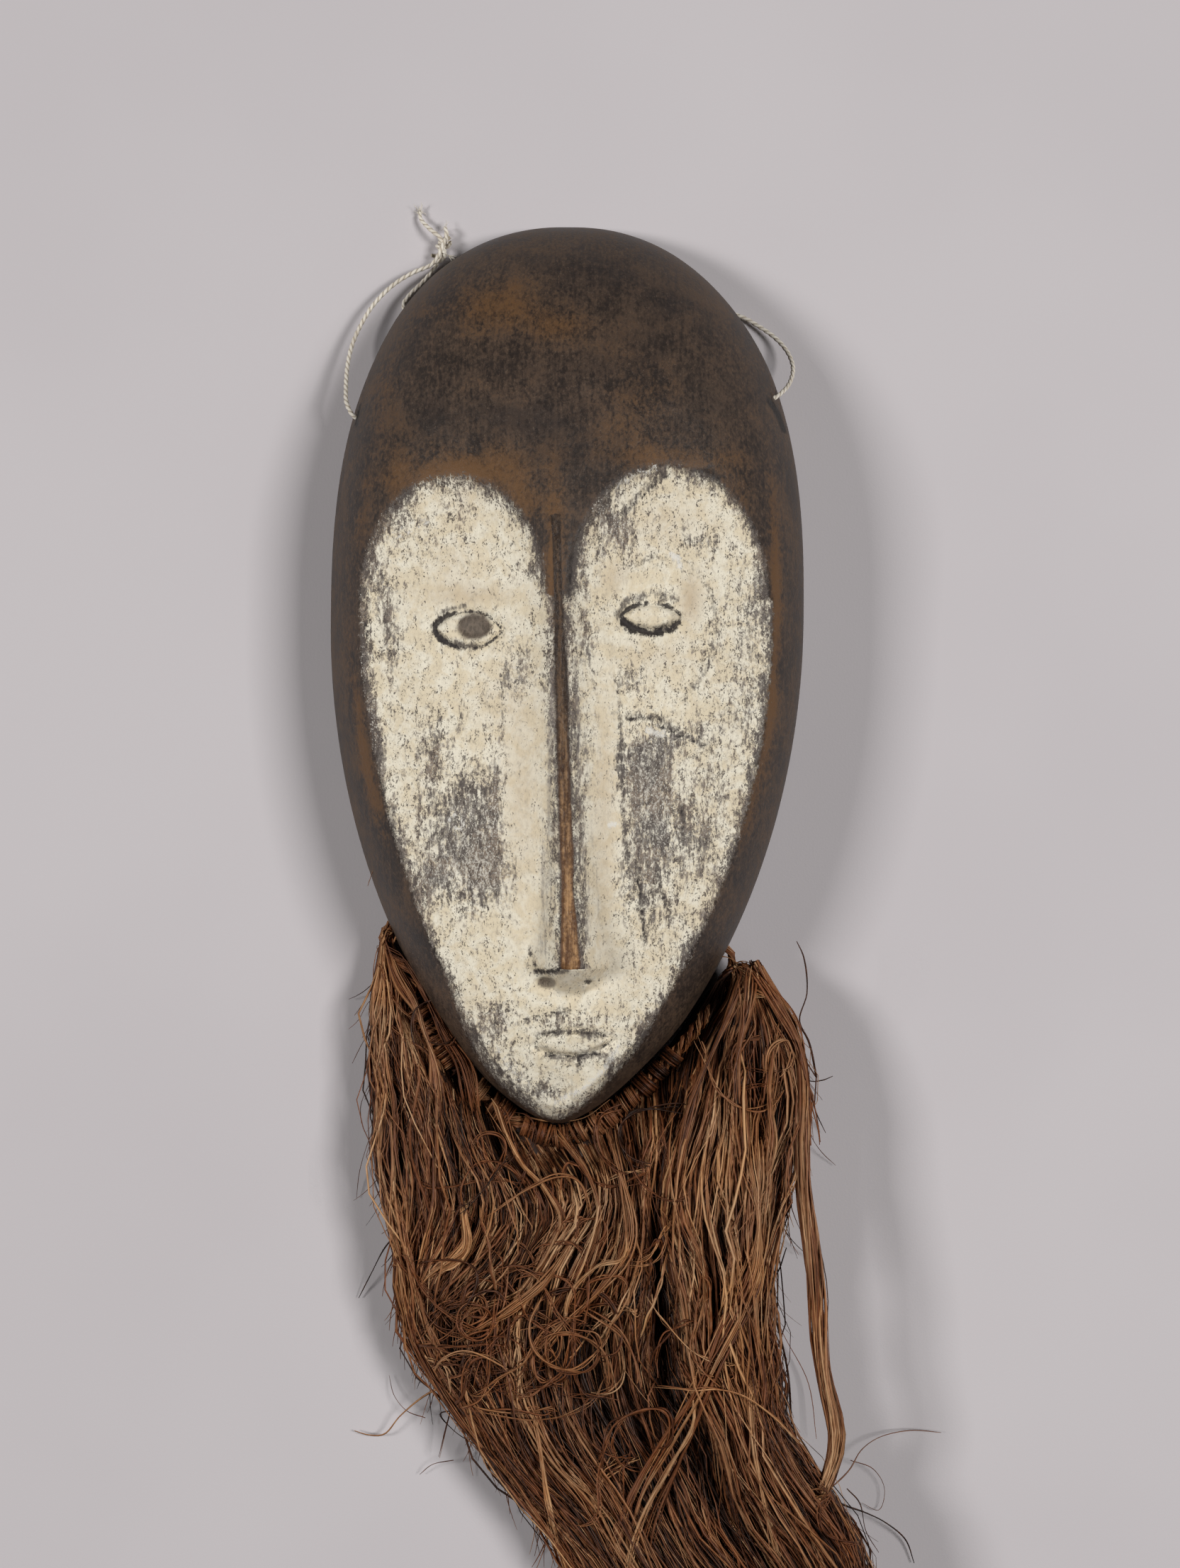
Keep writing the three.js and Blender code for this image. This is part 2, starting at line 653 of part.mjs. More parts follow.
function hankEdge(share, y) {
  const calm = ease(BEARD_TOP_Y - 20, BEARD_TOP_Y - 60, y) * (1 - ease(-200, -240, y));
  const sway = SWAY.size * Math.sin(2 * Math.PI * (SWAY.from - y) / SWAY.length) * Math.sin(Math.PI * share);
  return mix(beardLeft(y), beardRight(y), share) - calm * sway;
}

function hankThickness(y, thick) {
  const rise = ease(-80, -140, y);
  const drop = ease(-185, -262, y);
  return thick * mix(mix(HANK_THICKNESS.top, HANK_THICKNESS.middle, rise), HANK_THICKNESS.end, drop);
}

// One hank: flat below where it lies, arched above, drawn in at both ends
function hankGeometry(leftOf, rightOf, topY, endY, heightOf) {
  const positions = [];
  const indices = [];
  const width = HANK_TOP_SIDES + 1;
  for (let j = 0; j <= HANK_STATIONS; j++) {
    const v = j / HANK_STATIONS;
    const y = mix(topY, endY, v);
    const tip = mix(HANK_TIP, 1, Math.sqrt(clamp((1 - v) * 6, 0, 1)));
    const left = leftOf(y) + HANK_GAP / 2;
    const right = rightOf(y) - HANK_GAP / 2;
    const middle = (left + right) / 2;
    const half = Math.max(0.4, (right - left) / 2) * tip;
    const height = heightOf(y) * tip;
    for (let i = 0; i <= HANK_TOP_SIDES; i++) {
      const angle = Math.PI * (1 - i / HANK_TOP_SIDES);
      const z = height * Math.pow(Math.sin(angle), 0.7);
      positions.push(middle + half * Math.cos(angle), y, i === 0 || i === HANK_TOP_SIDES ? 0 : z);
    }
  }
  const id = (j, i) => j * width + i;
  for (let j = 0; j < HANK_STATIONS; j++) {
    for (let i = 0; i < width; i++) {
      const next = (i + 1) % width;
      indices.push(id(j, i), id(j + 1, i), id(j + 1, next));
      indices.push(id(j, i), id(j + 1, next), id(j, next));
    }
  }
  for (let i = 1; i < width - 1; i++) {
    indices.push(id(0, 0), id(0, i), id(0, i + 1));
    indices.push(id(HANK_STATIONS, 0), id(HANK_STATIONS, i + 1), id(HANK_STATIONS, i));
  }
  return geometryFrom(positions, indices);
}

function beardHanks() {
  const keepOut = beardKeepOut();
  const hanks = [];
  for (let k = 0; k < HANK_COUNT; k++) {
    const share = hankShare(k);
    const nextShare = hankShare(k + 1);
    const endY = BEARD_END_Y + LENGTH_STAGGER * Math.abs(Math.sin(1.7 * k + 0.4));
    const thick = 0.9 + 0.12 * Math.sin(2.3 * k + 1);
    const geometry = hankGeometry(
      (y) => hankEdge(share, y), (y) => hankEdge(nextShare, y), BEARD_TOP_Y, endY,
      (y) => hankThickness(y, thick),
    );
    const parts = toSolid(geometry).subtract(keepOut).decompose();
    parts.sort((a, b) => b.volume() - a.volume());
    hanks.push({ name: `beard_hank_${k + 1}`, geometry: toGeometry(parts[0]) });
  }
  const strand = hankGeometry(strandLeft, strandRight, STRAND_TOP_Y, STRAND_END_Y, () => STRAND_THICKNESS);
  hanks.push({ name: 'beard_outer_strand', geometry: strand });
  return hanks;
}

// Assembly
function named(name, geometry, finish) {
  geometry.computeVertexNormals();
  const mesh = new THREE.Mesh(geometry, new THREE.MeshStandardMaterial({ ...finish, metalness: 0 }));
  mesh.name = name;
  return mesh;
}

const legaMask = new THREE.Group();
const body = new THREE.Group();
body.add(named('wooden_mask', woodenMask(), WOOD));
body.add(named('beard_cord', beardCord(), RAFFIA));
for (const hank of beardHanks()) {
  body.add(named(hank.name, hank.geometry, RAFFIA));
}

const twine = new THREE.Group();
twine.add(named('hanging_string_left', stringRun(STRING_TO_KNOT), COTTON));
twine.add(named('string_knot', stringKnot(), COTTON));
twine.add(named('hanging_string_back', stringRun(STRING_FROM_KNOT), COTTON));
legaMask.add(body, twine);

// The origin is under the middle of the mask and its beard, where they lie
const box = new THREE.Box3().setFromObject(body);
legaMask.children.forEach((group) => {
  group.position.set(-(box.min.x + box.max.x) / 2, -(box.min.y + box.max.y) / 2, -box.min.z);
});

export default legaMask;
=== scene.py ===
"""Lega mask with a raffia beard and a cotton hanging string, lying face up on a pale floor."""
import math

import bpy
import numpy as np
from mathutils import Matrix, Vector


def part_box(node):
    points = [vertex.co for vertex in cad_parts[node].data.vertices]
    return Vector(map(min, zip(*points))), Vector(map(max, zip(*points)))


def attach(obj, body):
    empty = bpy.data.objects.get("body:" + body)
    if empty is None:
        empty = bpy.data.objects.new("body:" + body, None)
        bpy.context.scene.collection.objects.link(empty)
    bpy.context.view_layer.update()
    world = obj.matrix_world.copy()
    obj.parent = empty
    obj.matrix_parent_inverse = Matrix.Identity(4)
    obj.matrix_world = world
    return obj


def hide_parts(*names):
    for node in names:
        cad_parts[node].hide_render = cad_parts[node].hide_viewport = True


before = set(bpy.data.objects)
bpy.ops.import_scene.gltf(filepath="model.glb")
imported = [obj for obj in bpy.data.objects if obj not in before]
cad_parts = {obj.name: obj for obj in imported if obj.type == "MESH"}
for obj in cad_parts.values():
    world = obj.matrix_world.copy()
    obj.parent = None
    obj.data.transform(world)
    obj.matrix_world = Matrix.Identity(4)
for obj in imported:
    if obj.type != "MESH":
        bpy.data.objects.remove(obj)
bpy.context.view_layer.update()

# The mask frame is millimetres with part.mjs's own zero: +X to the viewer's right,
# +Y from the chin to the crown, +Z up. Everything is modelled in it. A profile is a power
# and a root; a swing, a rounding or a relief is where it starts, where it ends and how much
CROWN_Y = 109.0
WIDEST_Y = 11.75
CHIN_Y = -111.0
HALF_WIDTH = 58.1
UPPER_OUTLINE = (2.62, 0.465)
LOWER_OUTLINE = (1.985, 0.663)
AXIS_LEAN = 0.01
CROWN_SWING = (70.0, 100.0, -0.9)
CHIN_SWING = (-85.0, -100.0, -1.0)

DOME_HEIGHT = 48.0
DOME_TOP_Y = 16.0
CROWN_PROFILE = (2.3, 0.5)
CHIN_PROFILE = (3.0, 0.33)
SECTION_POWER = 3.0
SECTION_ROOT = 0.445
CROWN_ROUNDING = (30.0, 100.0, -0.5)

# A lobe is the x of its middle, its half width and its height
LOBE_Y = 15.5
LEFT_LOBE = (-26.5, 22.05, 27.6)
RIGHT_LOBE = (23.9, 23.7, 29.8)
FACE_HALF_WIDTH = 48.6
FACE_TOP_Y = 12.0
FACE_CHIN_Y = -104.6
LEFT_CHEEK = (1.6, 0.62)
RIGHT_CHEEK = (2.1, 0.8)
PAINT_CHIN_Y = -109.0
PAINT_LEFT = (2.0, 0.66)
PAINT_RIGHT = (2.0, 0.78)
PAINT_CHIN_FROM = (-72.0, -92.0)
BROW_DEPTH, CHIN_DEPTH = 6.5, 4.2
DEPTH_CHANGE = (-20.0, -90.0)
FACE_FALL = 6.0
FACE_INNER_EDGE = 2.4

NOSE_TOP = dict(x=-2.0, y=28.0, z=47.4, crest=1.1, slope=2.3)
NOSE_TIP = dict(x=1.2, y=-70.5, z=47.6, crest=2.8, slope=1.45)
NOSE_BASE_SLOPE = 1.6
NOSE_BLEND = 1.2
SOCKET_DEPTH, SOCKET_SPREAD = 1.2, 9.0
MUZZLE = (1.7, -87.0)
MUZZLE_RISE, MUZZLE_SPREAD = 1.6, 9.0

WALL = 6.0
HOLLOW_DEPTH = 36.0
HOLLOW_POWER = 2.6
RIM_RELIEF = (74.0, 86.0, 2.6)
TINY = 1e-6

# Eyes and mouth are almonds, turned by radians. The pit and the nostrils are ovals: the
# middle, both half sizes and the depth
LEFT_EYE = dict(x=-22.6, y=7.8, length=7.6, height=3.8, turn=-0.04)
RIGHT_EYE = dict(x=19.9, y=10.8, length=6.5, height=2.6, turn=0.0)
MOUTH = dict(x=1.7, y=-88.7, length=8.5, height=2.6, turn=0.06)
ALMOND_POWER = 2.4
EYE_PIT = (-21.2, 8.5, 4.0, 2.6, 1.3)
NOSTRILS = ((-4.3, -74.3, 2.3, 1.5, 1.5), (5.1, -74.0, 1.1, 0.75, 1.4))


def ease(start, end, v):
    """Smoothly from 0 at the start to 1 at the end."""
    t = np.clip((v - start) / (end - start), 0.0, 1.0)
    return t * t * (3.0 - 2.0 * t)


def grow(v, start, end, amount):
    return amount * ease(start, end, v)


def mix(a, b, t):
    return a + (b - a) * t


def bell(v, width):
    return np.exp(-((v / width) ** 2))


def arc(u, power, root):
    return np.maximum(0.0, 1.0 - np.clip(u, 0.0, 1.0) ** power) ** root


def unit(v):
    return v / np.linalg.norm(v, axis=-1, keepdims=True)


def turned(x, y, angle):
    """The same place on axes turned by this many radians."""
    c, s = math.cos(angle), math.sin(angle)
    return x * c + y * s, y * c - x * s


def oval(x, y, spot):
    """0 in the middle of an oval and 1 on its rim, as a square."""
    cx, cy, rx, ry = spot[:4]
    return ((x - cx) / rx) ** 2 + ((y - cy) / ry) ** 2


def soft_oval(dx, dy, rx, ry, degrees, fall):
    """1 in the middle of a turned oval, falling off smoothly."""
    u, v = turned(dx, dy, math.radians(degrees))
    return np.exp(-((u / rx) ** 2 + (v / ry) ** 2) * fall)


# The carving
def profile(y, middle, upper, lower):
    """1 at the middle, falling to 0 at the crown and at the chin."""
    above = arc((y - middle) / (CROWN_Y - middle), *upper)
    below = arc((middle - y) / (middle - CHIN_Y), *lower)
    return np.where(y >= middle, above, below)


def outline_half(y):
    return HALF_WIDTH * profile(y, WIDEST_Y, UPPER_OUTLINE, LOWER_OUTLINE)


def axis_x(y):
    return AXIS_LEAN * y + grow(y, *CROWN_SWING) + grow(y, *CHIN_SWING)


def dome_height(y, top):
    return top * profile(y, DOME_TOP_Y, CROWN_PROFILE, CHIN_PROFILE)


def section_power(y):
    return SECTION_POWER + grow(y, *CROWN_ROUNDING)


def dome(x, y):
    r = np.abs(x - axis_x(y)) / np.maximum(outline_half(y), TINY)
    return dome_height(y, DOME_HEIGHT) * arc(r, section_power(y), SECTION_ROOT)


def nose_at(y):
    """x of the nose's middle, and the height, half width and slope of its crest."""
    t = (NOSE_TOP["y"] - y) / (NOSE_TOP["y"] - NOSE_TIP["y"])
    s = np.clip(t, 0.0, 1.0)
    x = mix(NOSE_TOP["x"], NOSE_TIP["x"], np.clip(t, -0.2, 1.1))
    return (x, *(mix(NOSE_TOP[k], NOSE_TIP[k], s) for k in ("z", "crest", "slope")))


def inside_lobe(x, y, lobe):
    cx, half_width, height = lobe
    return (1.0 - np.hypot((x - cx) / half_width, (y - LOBE_Y) / height)) * half_width


def inside_cheek(x, y, cheek, chin_y=FACE_CHIN_Y):
    before, here, after = (FACE_HALF_WIDTH * arc((FACE_TOP_Y - at) / (FACE_TOP_Y - chin_y), *cheek)
                           for at in (y - 1.0, y, y + 1.0))
    return (here - np.abs(x - axis_x(y))) / np.hypot(1.0, (after - before) / 2.0)


def inside_chin_paint(x, y):
    """Millimetres inside the kaolin below the cheeks, where it passes the carved edge."""
    left, right = (inside_cheek(x, y, side, PAINT_CHIN_Y) for side in (PAINT_LEFT, PAINT_RIGHT))
    return np.where(x < axis_x(y), left, right) - np.maximum(PAINT_CHIN_Y - y, 0.0)


def inside_face(x, y):
    """Millimetres inside the carved heart, negative outside it."""
    nose_x = nose_at(y)[0]
    left = x < nose_x
    lobe = np.where(left, inside_lobe(x, y, LEFT_LOBE), inside_lobe(x, y, RIGHT_LOBE))
    outer = np.where(left, inside_cheek(x, y, LEFT_CHEEK), inside_cheek(x, y, RIGHT_CHEEK))
    near_nose = ease(NOSE_TIP["y"] - 4.0, NOSE_TIP["y"] + 4.0, y)
    inner = np.abs(x - nose_x) - FACE_INNER_EDGE
    cheek = np.minimum(outer, mix(outer, inner, near_nose))
    return np.where(y >= LOBE_Y, lobe, cheek)


def bump_at(x, y, cx, cy, spread):
    return np.exp(-((x - cx) ** 2 + (y - cy) ** 2) / (2.0 * spread * spread))


def face_floor(x, y):
    inside = inside_face(x, y)
    fall = np.where(inside > 0.0, 1.0 - np.exp(-np.maximum(inside, 0.0) / FACE_FALL), 0.0)
    z = dome(x, y) - mix(BROW_DEPTH, CHIN_DEPTH, ease(*DEPTH_CHANGE, y)) * fall
    for eye in (LEFT_EYE, RIGHT_EYE):
        z -= SOCKET_DEPTH * fall * bump_at(x, y, eye["x"], eye["y"], SOCKET_SPREAD)
    return z + MUZZLE_RISE * fall * bump_at(x, y, *MUZZLE, MUZZLE_SPREAD)


def nose_roof(x, y):
    nose_x, z, crest, slope = nose_at(y)
    aside = np.maximum(0.0, np.abs(x - nose_x) - crest)
    above = np.maximum(0.0, y - NOSE_TOP["y"])
    below = np.maximum(0.0, NOSE_TIP["y"] - y)
    return z - slope * aside - above - NOSE_BASE_SLOPE * below


def carving(x, y):
    """The outside as part.mjs has it, without its eyes and mouth."""
    ground = face_floor(x, y)
    roof = nose_roof(x, y)
    gap = np.clip(0.5 + (roof - ground) / (2.0 * NOSE_BLEND), 0.0, 1.0)
    return mix(ground, roof, gap) + NOSE_BLEND * gap * (1.0 - gap)


def inside_almond(x, y, eye):
    """Millimetres inside an almond, negative outside it, and how far up it is."""
    u, v = turned(x - eye["x"], y - eye["y"], eye["turn"])
    t = np.abs(u) / eye["length"]
    edge = eye["height"] * (1.0 - t ** ALMOND_POWER)
    slant = ALMOND_POWER * eye["height"] * np.minimum(t, 1.2) ** (ALMOND_POWER - 1.0)
    return (edge - np.abs(v)) / np.hypot(1.0, slant / eye["length"]), v


RIPPLE_WAVES = 9


def ripple(x, y, size, seed):
    """Smooth noise from -1 to 1 with bumps about this many millimetres wide."""
    rng = np.random.default_rng(seed)
    total = np.zeros_like(x)
    for _ in range(RIPPLE_WAVES):
        angle, phase = rng.uniform(0.0, 2.0 * math.pi, 2)
        wave = 2.0 * math.pi / (size * rng.uniform(0.8, 2.2))
        total += np.sin((x * math.cos(angle) + y * math.sin(angle)) * wave + phase)
    return total / RIPPLE_WAVES * 1.6


# The photograph's camera looks straight down. Its pixels give places on the object
CAMERA = (5.7, -28.05, 650.0)
PIXEL = 0.1753
PHOTO_MIDDLE = (832.5, 1106.0)
LENS = 60.35
FACE_LEVEL = 40.0
FACE_PIXEL = PIXEL * 0.935


def to_lines(px, py, z):
    """From pixels and heights to points in the mask frame."""
    scale = PIXEL * (1.0 - z / CAMERA[2])
    x = (px - PHOTO_MIDDLE[0]) * scale + CAMERA[0]
    y = (PHOTO_MIDDLE[1] - py) * scale + CAMERA[1]
    return np.stack([x, y, z], axis=-1)


def level_y(px, py, z):
    """y in the mask frame of pixels at about this height."""
    return to_lines(px, py, np.full(np.shape(px), z))[..., 1]


def on_face(points):
    """x and y at which the carved face shows at these pixels."""
    px, py = np.atleast_2d(np.asarray(points, float)).T
    z = np.full(px.shape, FACE_LEVEL)
    for _ in range(4):
        x, y, _ = to_lines(px, py, z).T
        z = carving(x, y)
    return np.stack([x, y], axis=1)


def patches(x, y, spots):
    """Soft ovals: middle and half sizes in pixels, turn in degrees, strength."""
    total = np.zeros_like(x)
    for px, py, rx, ry, turn, strength in spots:
        cx, cy = on_face((px, py))[0]
        total += strength * soft_oval(x - cx, y - cy, rx * FACE_PIXEL, ry * FACE_PIXEL, -turn, 0.9)
    return total


def from_line(x, y, line):
    """Millimetres from a line through these points."""
    best = np.full_like(x, 1e9)
    for (ax, ay), (bx, by) in zip(line[:-1], line[1:]):
        dx, dy = bx - ax, by - ay
        t = np.clip(((x - ax) * dx + (y - ay) * dy) / (dx * dx + dy * dy + 1e-9), 0.0, 1.0)
        best = np.minimum(best, np.hypot(x - ax - t * dx, y - ay - t * dy))
    return best


def strokes(x, y, lines):
    """Brush strokes: points in pixels, half width in millimetres, strength."""
    total = np.zeros_like(x)
    for points, width, strength in lines:
        total = np.maximum(total, strength * bell(from_line(x, y, on_face(points)), width))
    return total


# Where the kaolin is rubbed thin. All these tables are read off the photograph in its
# pixels, by patches() and strokes()
THIN = (
    (664, 1180, 50, 85, 8, 0.95), (612, 1065, 30, 52, 0, 0.6), (680, 1240, 34, 40, 0, 0.6),
    (912, 1085, 46, 55, 0, 0.85), (925, 1165, 40, 62, 0, 0.8), (905, 1262, 44, 62, 0, 0.55),
    (985, 1190, 32, 60, 0, 0.5), (889, 960, 26, 20, 0, 0.65), (962, 1040, 50, 16, -14, 0.5),
    (528, 800, 20, 95, -8, 0.55), (575, 735, 42, 30, 30, 0.45), (552, 880, 15, 85, 0, 0.5),
    (985, 765, 40, 18, 0, 0.55), (1064, 850, 22, 70, 0, 0.5), (850, 778, 12, 24, 0, 0.4),
    (822, 885, 14, 50, 0, 0.5), (740, 806, 40, 12, -20, 0.4), (731, 925, 15, 40, 0, 0.35),
    (610, 1240, 22, 34, 30, 0.65), (684, 1458, 28, 34, 40, 0.6), (722, 1512, 42, 32, 35, 0.6),
    (772, 1540, 34, 18, 0, 0.65), (800, 1440, 76, 14, 0, 0.55), (862, 1494, 18, 13, 30, 0.75),
    (976, 1360, 20, 52, -28, 0.6), (915, 1445, 22, 18, -30, 0.55), (820, 800, 12, 44, 0, 0.6),
    (857, 730, 66, 17, 57, 0.8), (890, 735, 24, 26, 0, 0.35), (700, 1425, 24, 12, 0, 0.5),
    (640, 720, 30, 22, 0, 0.35), (1005, 915, 20, 60, 20, 0.35), (1060, 1010, 16, 44, 0, 0.35),
    (1012, 1110, 34, 70, 10, 0.38), (1052, 930, 18, 60, 0, 0.4), (1030, 1010, 24, 40, 0, 0.3),
    (703, 1080, 11, 120, 4, 0.5), (718, 1250, 12, 60, 6, 0.4), (735, 960, 24, 40, 0, 0.5),
    (838, 1000, 10, 110, 0, 0.45), (822, 1120, 8, 160, 0, 0.4), (508, 930, 10, 60, 0, 0.8),
    (527, 1020, 10, 40, -8, 0.9), (590, 1180, 30, 60, 0, 0.35),
)
# Where it is thicker and smoother
SMOOTH = (
    (735, 1120, 30, 150, 0, 0.9), (853, 1160, 18, 150, 0, 1.0), (850, 1000, 18, 80, 0, 0.6),
    (660, 838, 60, 18, 0, 0.8), (972, 845, 18, 32, 0, 0.9), (740, 1300, 40, 50, 0, 0.4),
    (905, 830, 30, 16, 20, 0.6), (800, 1392, 34, 12, 0, 0.5), (790, 1520, 46, 18, 0, 0.35),
    (930, 872, 34, 10, 0, 0.9), (560, 860, 60, 60, 0, 0.15), (815, 1035, 10, 120, 0, 0.4),
)
# Where it is warmer and tan, and where a tan painted shade lies round the eyes and under the nose
# tip
WARM_AND_SHADE = (
    (735, 1120, 26, 140, 0, 0.45), (853, 1160, 16, 150, 0, 0.55), (660, 840, 55, 14, 0, 0.6),
    (975, 845, 16, 34, 0, 0.95), (868, 812, 16, 30, 40, 0.6), (660, 700, 26, 20, 0, 0.3),
    (940, 735, 56, 34, 0, 0.35), (640, 800, 40, 40, 0, 0.25), (800, 1380, 26, 12, 0, 0.3),
    (925, 925, 60, 20, 0, 0.35), (700, 990, 40, 40, 0, 0.25), (880, 1350, 40, 40, 0, 0.2),
)
# Dark cracks, dashes and rubbed-in dirt, and painted shade in the creases under the nose and along
# the lips
INK_AND_SHADE = (
    (((946, 669), (922, 685), (893, 712), (880, 726)), 0.5, 0.8),
    (((955, 664), (975, 660), (1003, 662)), 0.8, 0.7),
    (((868, 715), (852, 740), (836, 775)), 0.7, 0.5),
    (((809, 760), (805, 800), (802, 840)), 0.8, 0.75),
    (((884, 1016), (905, 1012), (932, 1013)), 0.7, 0.8),
    (((932, 1026), (960, 1040), (995, 1052)), 0.55, 0.85),
    (((900, 1240), (906, 1290), (910, 1330)), 0.5, 0.75),
    (((925, 1225), (934, 1260), (941, 1280)), 0.45, 0.7),
    (((885, 1262), (889, 1300)), 0.45, 0.6),
    (((960, 1142), (966, 1158), (962, 1170)), 0.5, 0.7),
    (((869, 955), (874, 1010), (872, 1120)), 0.4, 0.55),
    (((757, 1369), (775, 1371), (790, 1366)), 0.75, 1.0),
    (((790, 1368), (803, 1367), (818, 1360)), 0.5, 0.6),
    (((757, 1367), (751, 1352), (748, 1338)), 0.6, 0.65),
    (((736, 1436), (770, 1431), (798, 1424)), 0.4, 0.8),
    (((758, 1459), (790, 1456), (830, 1456), (852, 1461)), 0.8, 0.6),
    (((776, 1489), (800, 1491), (826, 1490), (846, 1486)), 0.6, 0.8),
    (((815, 1490), (817, 1500), (815, 1506)), 0.5, 0.9),
    (((800, 1505), (815, 1501), (830, 1506)), 0.45, 0.6),
    (((803, 1408), (812, 1404), (820, 1409)), 0.45, 0.6),
    (((822, 1418), (827, 1424), (824, 1432)), 0.6, 0.6),
    (((614, 744), (590, 757), (556, 769)), 0.35, 0.6),
    (((548, 748), (570, 738), (600, 729)), 0.35, 0.5),
    (((630, 690), (640, 706), (655, 708)), 0.7, 0.55),
    (((668, 700), (676, 712)), 0.6, 0.7), (((720, 790), (745, 812), (772, 820)), 0.45, 0.6),
    (((550, 880), (553, 905), (549, 930)), 0.6, 0.6), (((516, 880), (519, 915)), 0.7, 0.6),
)
# Grey streaks along the nose
FLANK = (
    (((778, 950), (775, 1060), (771, 1200), (766, 1340)), 1.3, 0.85),
    (((811, 930), (815, 1040), (822, 1160), (830, 1330)), 1.1, 0.75),
    (((826, 1040), (836, 1180), (845, 1300)), 0.6, 0.65),
)
# Dirt rubbed in, with painted shade in grooves and creases: round the eyes, beside and under the
# nose, along the lips and along the right lobe
DIRT_AND_SHADE = (
    (((822, 712), (809, 760), (804, 835)), 1.9, 1.0), (((938, 668), (908, 692), (880, 726)),
     1.2, 0.7),
    (((886, 846), (920, 838), (955, 846)), 1.0, 0.65), (((884, 880), (915, 893), (950, 884)),
     1.1, 0.85),
    (((880, 850), (874, 868), (884, 884)), 1.0, 0.9), (((612, 884), (628, 862), (655, 854)),
     0.8, 0.75),
    (((614, 892), (636, 910), (670, 912)), 1.0, 0.9), (((874, 950), (876, 1050), (880, 1150),
      (888, 1230)), 0.7, 0.6),
    (((884, 1012), (925, 1012), (960, 1034), (1000, 1056)), 1.0, 0.7),
    (((900, 1225), (906, 1290), (912, 1330)), 0.9, 0.75), (((925, 1215), (934, 1260), (944, 1290)),
     0.8, 0.7),
    (((960, 1140), (966, 1160), (960, 1190)), 0.9, 0.6), (((636, 1105), (690, 1118)), 1.2, 0.6),
    (((757, 1371), (775, 1373), (800, 1368)), 0.9, 0.8), (((757, 1367), (750, 1350), (747, 1336)),
     0.8, 0.5),
    (((740, 1438), (775, 1432), (805, 1426)), 0.8, 0.6), (((758, 1459), (800, 1455), (852, 1461)),
     0.9, 0.75),
    (((770, 1490), (805, 1494), (848, 1487)), 0.9, 0.75), (((815, 1492), (817, 1502), (814, 1510)),
     0.7, 0.7),
    (((885, 800), (930, 785), (975, 797), (1004, 835), (1012, 881), (1000, 940), (968, 985)),
     0.8, 0.5),
    (((668, 1450), (690, 1490), (725, 1530)), 1.3, 0.6), (((930, 1440), (905, 1462), (885, 1490)),
     1.1, 0.5),
)
# Painted shade in the mouths of the string holes
HOLE_SHADE_STROKES = (
    (((508, 570), (504, 588), (503, 602)), 0.55, 1.0),
    (((1086, 566), (1098, 584), (1106, 606)), 1.1, 1.0),
)
# Light scratches and drops of kaolin, and painted highlights on the ridge round the right eye and
# on the chin's edge
CHALK_AND_HIGHLIGHTS = (
    (((548, 764), (580, 750), (612, 733)), 0.35, 0.8),
    (((552, 752), (575, 741), (600, 731)), 0.3, 0.7),
    (((946, 782), (958, 788), (960, 800)), 0.9, 0.9),
    (((633, 1158), (640, 1150), (650, 1154), (655, 1164), (647, 1170), (637, 1165)), 0.35, 1.0),
    (((914, 1030), (935, 1036)), 1.1, 0.9), (((862, 1163), (868, 1163)), 1.1, 1.0),
    (((704, 1191), (690, 1193)), 0.35, 0.7), (((884, 930), (910, 940)), 0.5, 0.4),
    (((868, 690), (900, 668), (925, 660)), 1.0, 0.55),
    (((700, 1475), (720, 1508), (750, 1532)), 0.8, 0.55),
    (((785, 1555), (815, 1540), (850, 1512), (872, 1478)), 1.1, 0.65),
    (((1060, 1005), (1073, 1000)), 0.8, 0.5),
)
# Bare wood: orange-brown where it is rubbed, near black where it is sooty
RUST = (
    (702, 432, 60, 34, 0, 0.75), (585, 442, 30, 18, 0, 0.6), (790, 460, 40, 24, 0, 0.55),
    (538, 535, 24, 46, 0, 0.45), (905, 552, 44, 60, 0, 0.4), (645, 668, 88, 22, 0, 1.0),
    (738, 706, 24, 30, -40, 0.9), (925, 645, 100, 18, 0, 0.6), (560, 690, 18, 60, 0, 0.5),
    (782, 800, 14, 120, 0, 0.9), (510, 740, 12, 80, 8, 0.4), (1094, 800, 8, 100, -2, 0.8),
    (1090, 960, 9, 120, 3, 0.95), (1070, 1090, 10, 70, 12, 0.75), (506, 1010, 8, 90, -8, 0.8),
    (528, 1120, 12, 70, -14, 0.7), (560, 620, 60, 40, 0, 0.2), (1040, 690, 36, 50, -30, 0.35),
    (700, 640, 70, 20, 0, 0.4), (860, 610, 60, 20, 0, 0.25), (620, 400, 40, 24, 30, 0.25),
    (1045, 1170, 12, 40, 16, 0.4),
)
SOOT = (
    (850, 380, 110, 60, 0, 0.45), (745, 590, 82, 24, 0, 0.7), (806, 640, 80, 34, 0, 0.5),
    (885, 505, 66, 50, 0, 0.5), (604, 592, 50, 40, 0, 0.45), (960, 440, 60, 50, 30, 0.4),
    (1000, 560, 60, 40, 0, 0.3), (700, 350, 60, 26, 0, 0.35), (760, 520, 60, 18, 0, 0.3),
)


# The mask's surface: each almond's rise and the groove round it, and the faint ridge
# round the right eye
ALMONDS = ((LEFT_EYE, 0.75, 0.75), (RIGHT_EYE, 1.0, 1.1), (MOUTH, 0.95, 0.75))
RIDGE_MIDDLE = (RIGHT_EYE["x"] + 1.5, RIGHT_EYE["y"] - 1.0)
RIDGE_RADIUS, RIDGE_WIDTH, RIDGE_RISE = 13.5, 1.1, 0.22
CUT_DEPTH = 0.22
MASK_ROWS = 300
MASK_COLUMNS = 121
HOLLOW_COLUMNS = 22


